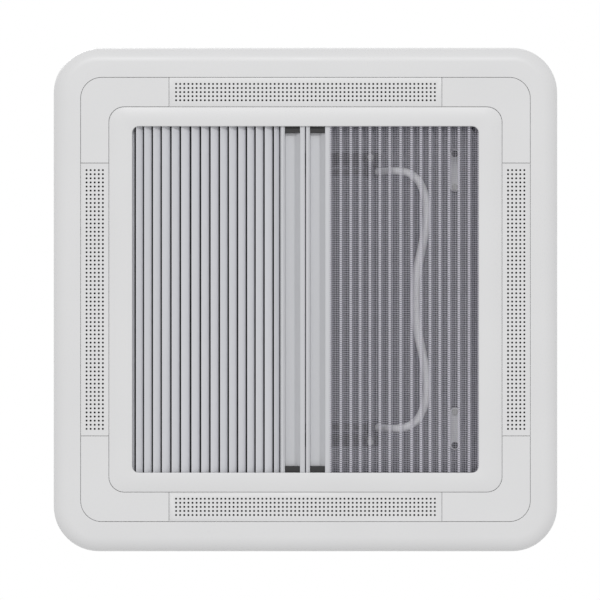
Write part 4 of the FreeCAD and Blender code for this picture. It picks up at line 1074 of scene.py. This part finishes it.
# How far out each loop of the rounded window lip stands, as a share of the lip
LIP_PARTS = (1, 0.617, 0.293, 0.076, 0)


def rounded_loop(half_x, half_y, corner, height, steps=8):
    """Points round a rectangle with round corners, the same number on each."""
    points = []
    for turn, (side_x, side_y) in enumerate(((1, 1), (-1, 1), (-1, -1), (1, -1))):
        for step in range(steps + 1):
            angle = math.radians(90 * (turn + step / steps))
            points.append((
                side_x * (half_x - corner) + corner * math.cos(angle),
                side_y * (half_y - corner) + corner * math.sin(angle), height,
            ))
    return points


class HATCH_OT_window_surround(Operator):
    """Builds the flat moulding round the window as one piece"""

    bl_idname = "hatch.window_surround"
    bl_label = "Window surround"

    def execute(self, context):
        sizes = settings("moulding")
        low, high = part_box("blind_frame")
        opening, corner, lip = sizes.window / 2, sizes.window_corner, sizes.lip
        edge, middle = sizes.edge, sizes.edge * EDGE_MIDDLE
        loops = [
            rounded_loop(high.x - inset, high.y - inset, OUTER_CORNER, height)
            for inset, height in (
                (0, high.z), (0, low.z + edge), (middle, low.z + middle), (edge, low.z),
            )
        ]
        for part in LIP_PARTS:
            half, rise = opening + lip * part, lip - lip * math.sqrt(1 - (1 - part) ** 2)
            loops.append(rounded_loop(half, half, corner + lip * part, low.z + rise))
        loops.append(rounded_loop(opening, opening, corner, high.z))
        count = len(loops[0])
        faces = []
        for ring in range(len(loops)):
            here, after = ring * count, (ring + 1) % len(loops) * count
            for i in range(count):
                j = (i + 1) % count
                faces.append((here + i, here + j, after + j, after + i))
        points = [point for loop in loops for point in loop]
        piece = add_object("window_surround", mesh_of("window_surround", points, faces))
        smooth(piece.data)
        settle(piece, "blind_frame", "blind_frame_corners")
        return {"FINISHED"}




# Stage

FLOOR_REACH = 3.0
FLOOR_GAP = 0.0005
SENSOR_WIDTH = 36
# Where the camera stands to the side of the middle
CAMERA_X, CAMERA_Y = -0.0054, 0.0005


def floor_material():
    """Pale to a camera above it, and open to all other rays, so that the underside is lit."""
    material, tree, shader = surface("floor")
    set_inputs(tree, shader, Base_Color=(*settings("stage").floor, 1), Roughness=0.9)
    open_side = tree.add("ShaderNodeBsdfTransparent")
    front = tree.math("SUBTRACT", 1.0, tree.add("ShaderNodeNewGeometry").outputs["Backfacing"])
    seen = tree.math("MULTIPLY", front, tree.add("ShaderNodeLightPath").outputs["Is Camera Ray"])
    mix = tree.add("ShaderNodeMixShader", {
        0: seen, 1: open_side.outputs[0], 2: shader.outputs[0],
    })
    tree.tree.links.new(mix.outputs[0], tree.tree.nodes["Material Output"].inputs["Surface"])
    return material


def lamp(name, strength, toward, angle):
    """A soft sun that stands in the given direction and shines towards the middle."""
    data = bpy.data.lights.new(name, "SUN")
    data.energy = strength
    data.angle = math.radians(angle)
    made = add_object(name, data)
    made.rotation_euler = Vector(toward).to_track_quat("Z", "Y").to_euler()
    return made


class HATCH_OT_stage(Operator):
    """Builds the floor, the lamps, the sky and the camera"""

    bl_idname = "hatch.stage"
    bl_label = "Stage"

    def execute(self, context):
        scene = context.scene
        sizes = settings("stage")
        scene.view_settings.view_transform = "Standard"
        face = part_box("interior_frame")[0].z
        reach, level = FLOOR_REACH, face - FLOOR_GAP
        floor = add_object("floor", bpy.data.meshes.new("floor"))
        floor.data.from_pydata(
            [(x, y, level) for x, y in (
                (-reach, -reach), (reach, -reach), (reach, reach), (-reach, reach),
            )],
            [], [(0, 1, 2, 3)],
        )
        floor.data.materials.append(floor_material())
        lamps = [
            lamp("key_light", sizes.key, toward=(-0.05, -0.48, -0.875), angle=8),
            lamp("top_light", sizes.top, toward=(-0.3, -0.5, 0.8), angle=20),
        ]
        world = bpy.data.worlds.new("sky")
        scene.world = world
        world.use_nodes = True
        tree = Tree(world.node_tree)
        rays = tree.add("ShaderNodeLightPath").outputs
        seen = tree.math("MAXIMUM", rays["Is Camera Ray"], rays["Is Glossy Ray"])
        seen = tree.math("MAXIMUM", seen, rays["Is Transmission Ray"])
        strength = tree.add("ShaderNodeMapRange", {
            "Value": seen, "To Min": sizes.sky, "To Max": 1.0,
        }).outputs[0]
        back = world.node_tree.nodes["Background"]
        back.inputs["Color"].default_value = (1, 1, 1, 1)
        world.node_tree.links.new(strength, back.inputs["Strength"])
        camera = bpy.data.cameras.new("camera")
        camera.sensor_width = SENSOR_WIDTH
        camera.lens = SENSOR_WIDTH * sizes.distance / sizes.view_width
        camera.clip_end = 100
        eye = add_object("camera", camera)
        eye.location = (CAMERA_X, CAMERA_Y, face - sizes.distance)
        eye.rotation_euler = (math.pi, 0, 0)
        scene.camera = eye
        return {"FINISHED"}


OPERATORS = (
    HATCH_OT_stage, HATCH_OT_roof_frame, HATCH_OT_dome, HATCH_OT_hinges, HATCH_OT_rails,
    HATCH_OT_bail, HATCH_OT_catches, HATCH_OT_ceiling_frame, HATCH_OT_window_surround,
    HATCH_OT_vent_grilles, HATCH_OT_tracks, HATCH_OT_pull_bars, HATCH_OT_blackout,
    HATCH_OT_flyscreen,
)


class HATCH_PT_panel(Panel):
    """The pieces and their sizes and colours"""

    bl_idname = "HATCH_PT_panel"
    bl_label = "Roof hatch"
    bl_space_type = "VIEW_3D"
    bl_region_type = "UI"
    bl_category = "Roof hatch"

    def draw(self, context):
        for name, group in SETTINGS.items():
            box = self.layout.box()
            box.label(text=name.capitalize())
            for label in group.__annotations__:
                box.prop(settings(name), label)
        for operator in OPERATORS:
            self.layout.operator(operator.bl_idname)


def register():
    for group in (*SETTINGS.values(), *OPERATORS, HATCH_PT_panel):
        bpy.utils.register_class(group)
    for name, group in SETTINGS.items():
        setattr(bpy.types.Scene, f"hatch_{name}", PointerProperty(type=group))


def unregister():
    for name in SETTINGS:
        delattr(bpy.types.Scene, f"hatch_{name}")
    for group in (HATCH_PT_panel, *reversed(OPERATORS), *SETTINGS.values()):
        bpy.utils.unregister_class(group)


def main():
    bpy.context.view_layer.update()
    register()
    for operator in OPERATORS:
        area, name = operator.bl_idname.split(".")
        getattr(getattr(bpy.ops, area), name)()


if __name__ == "__main__":
    main()
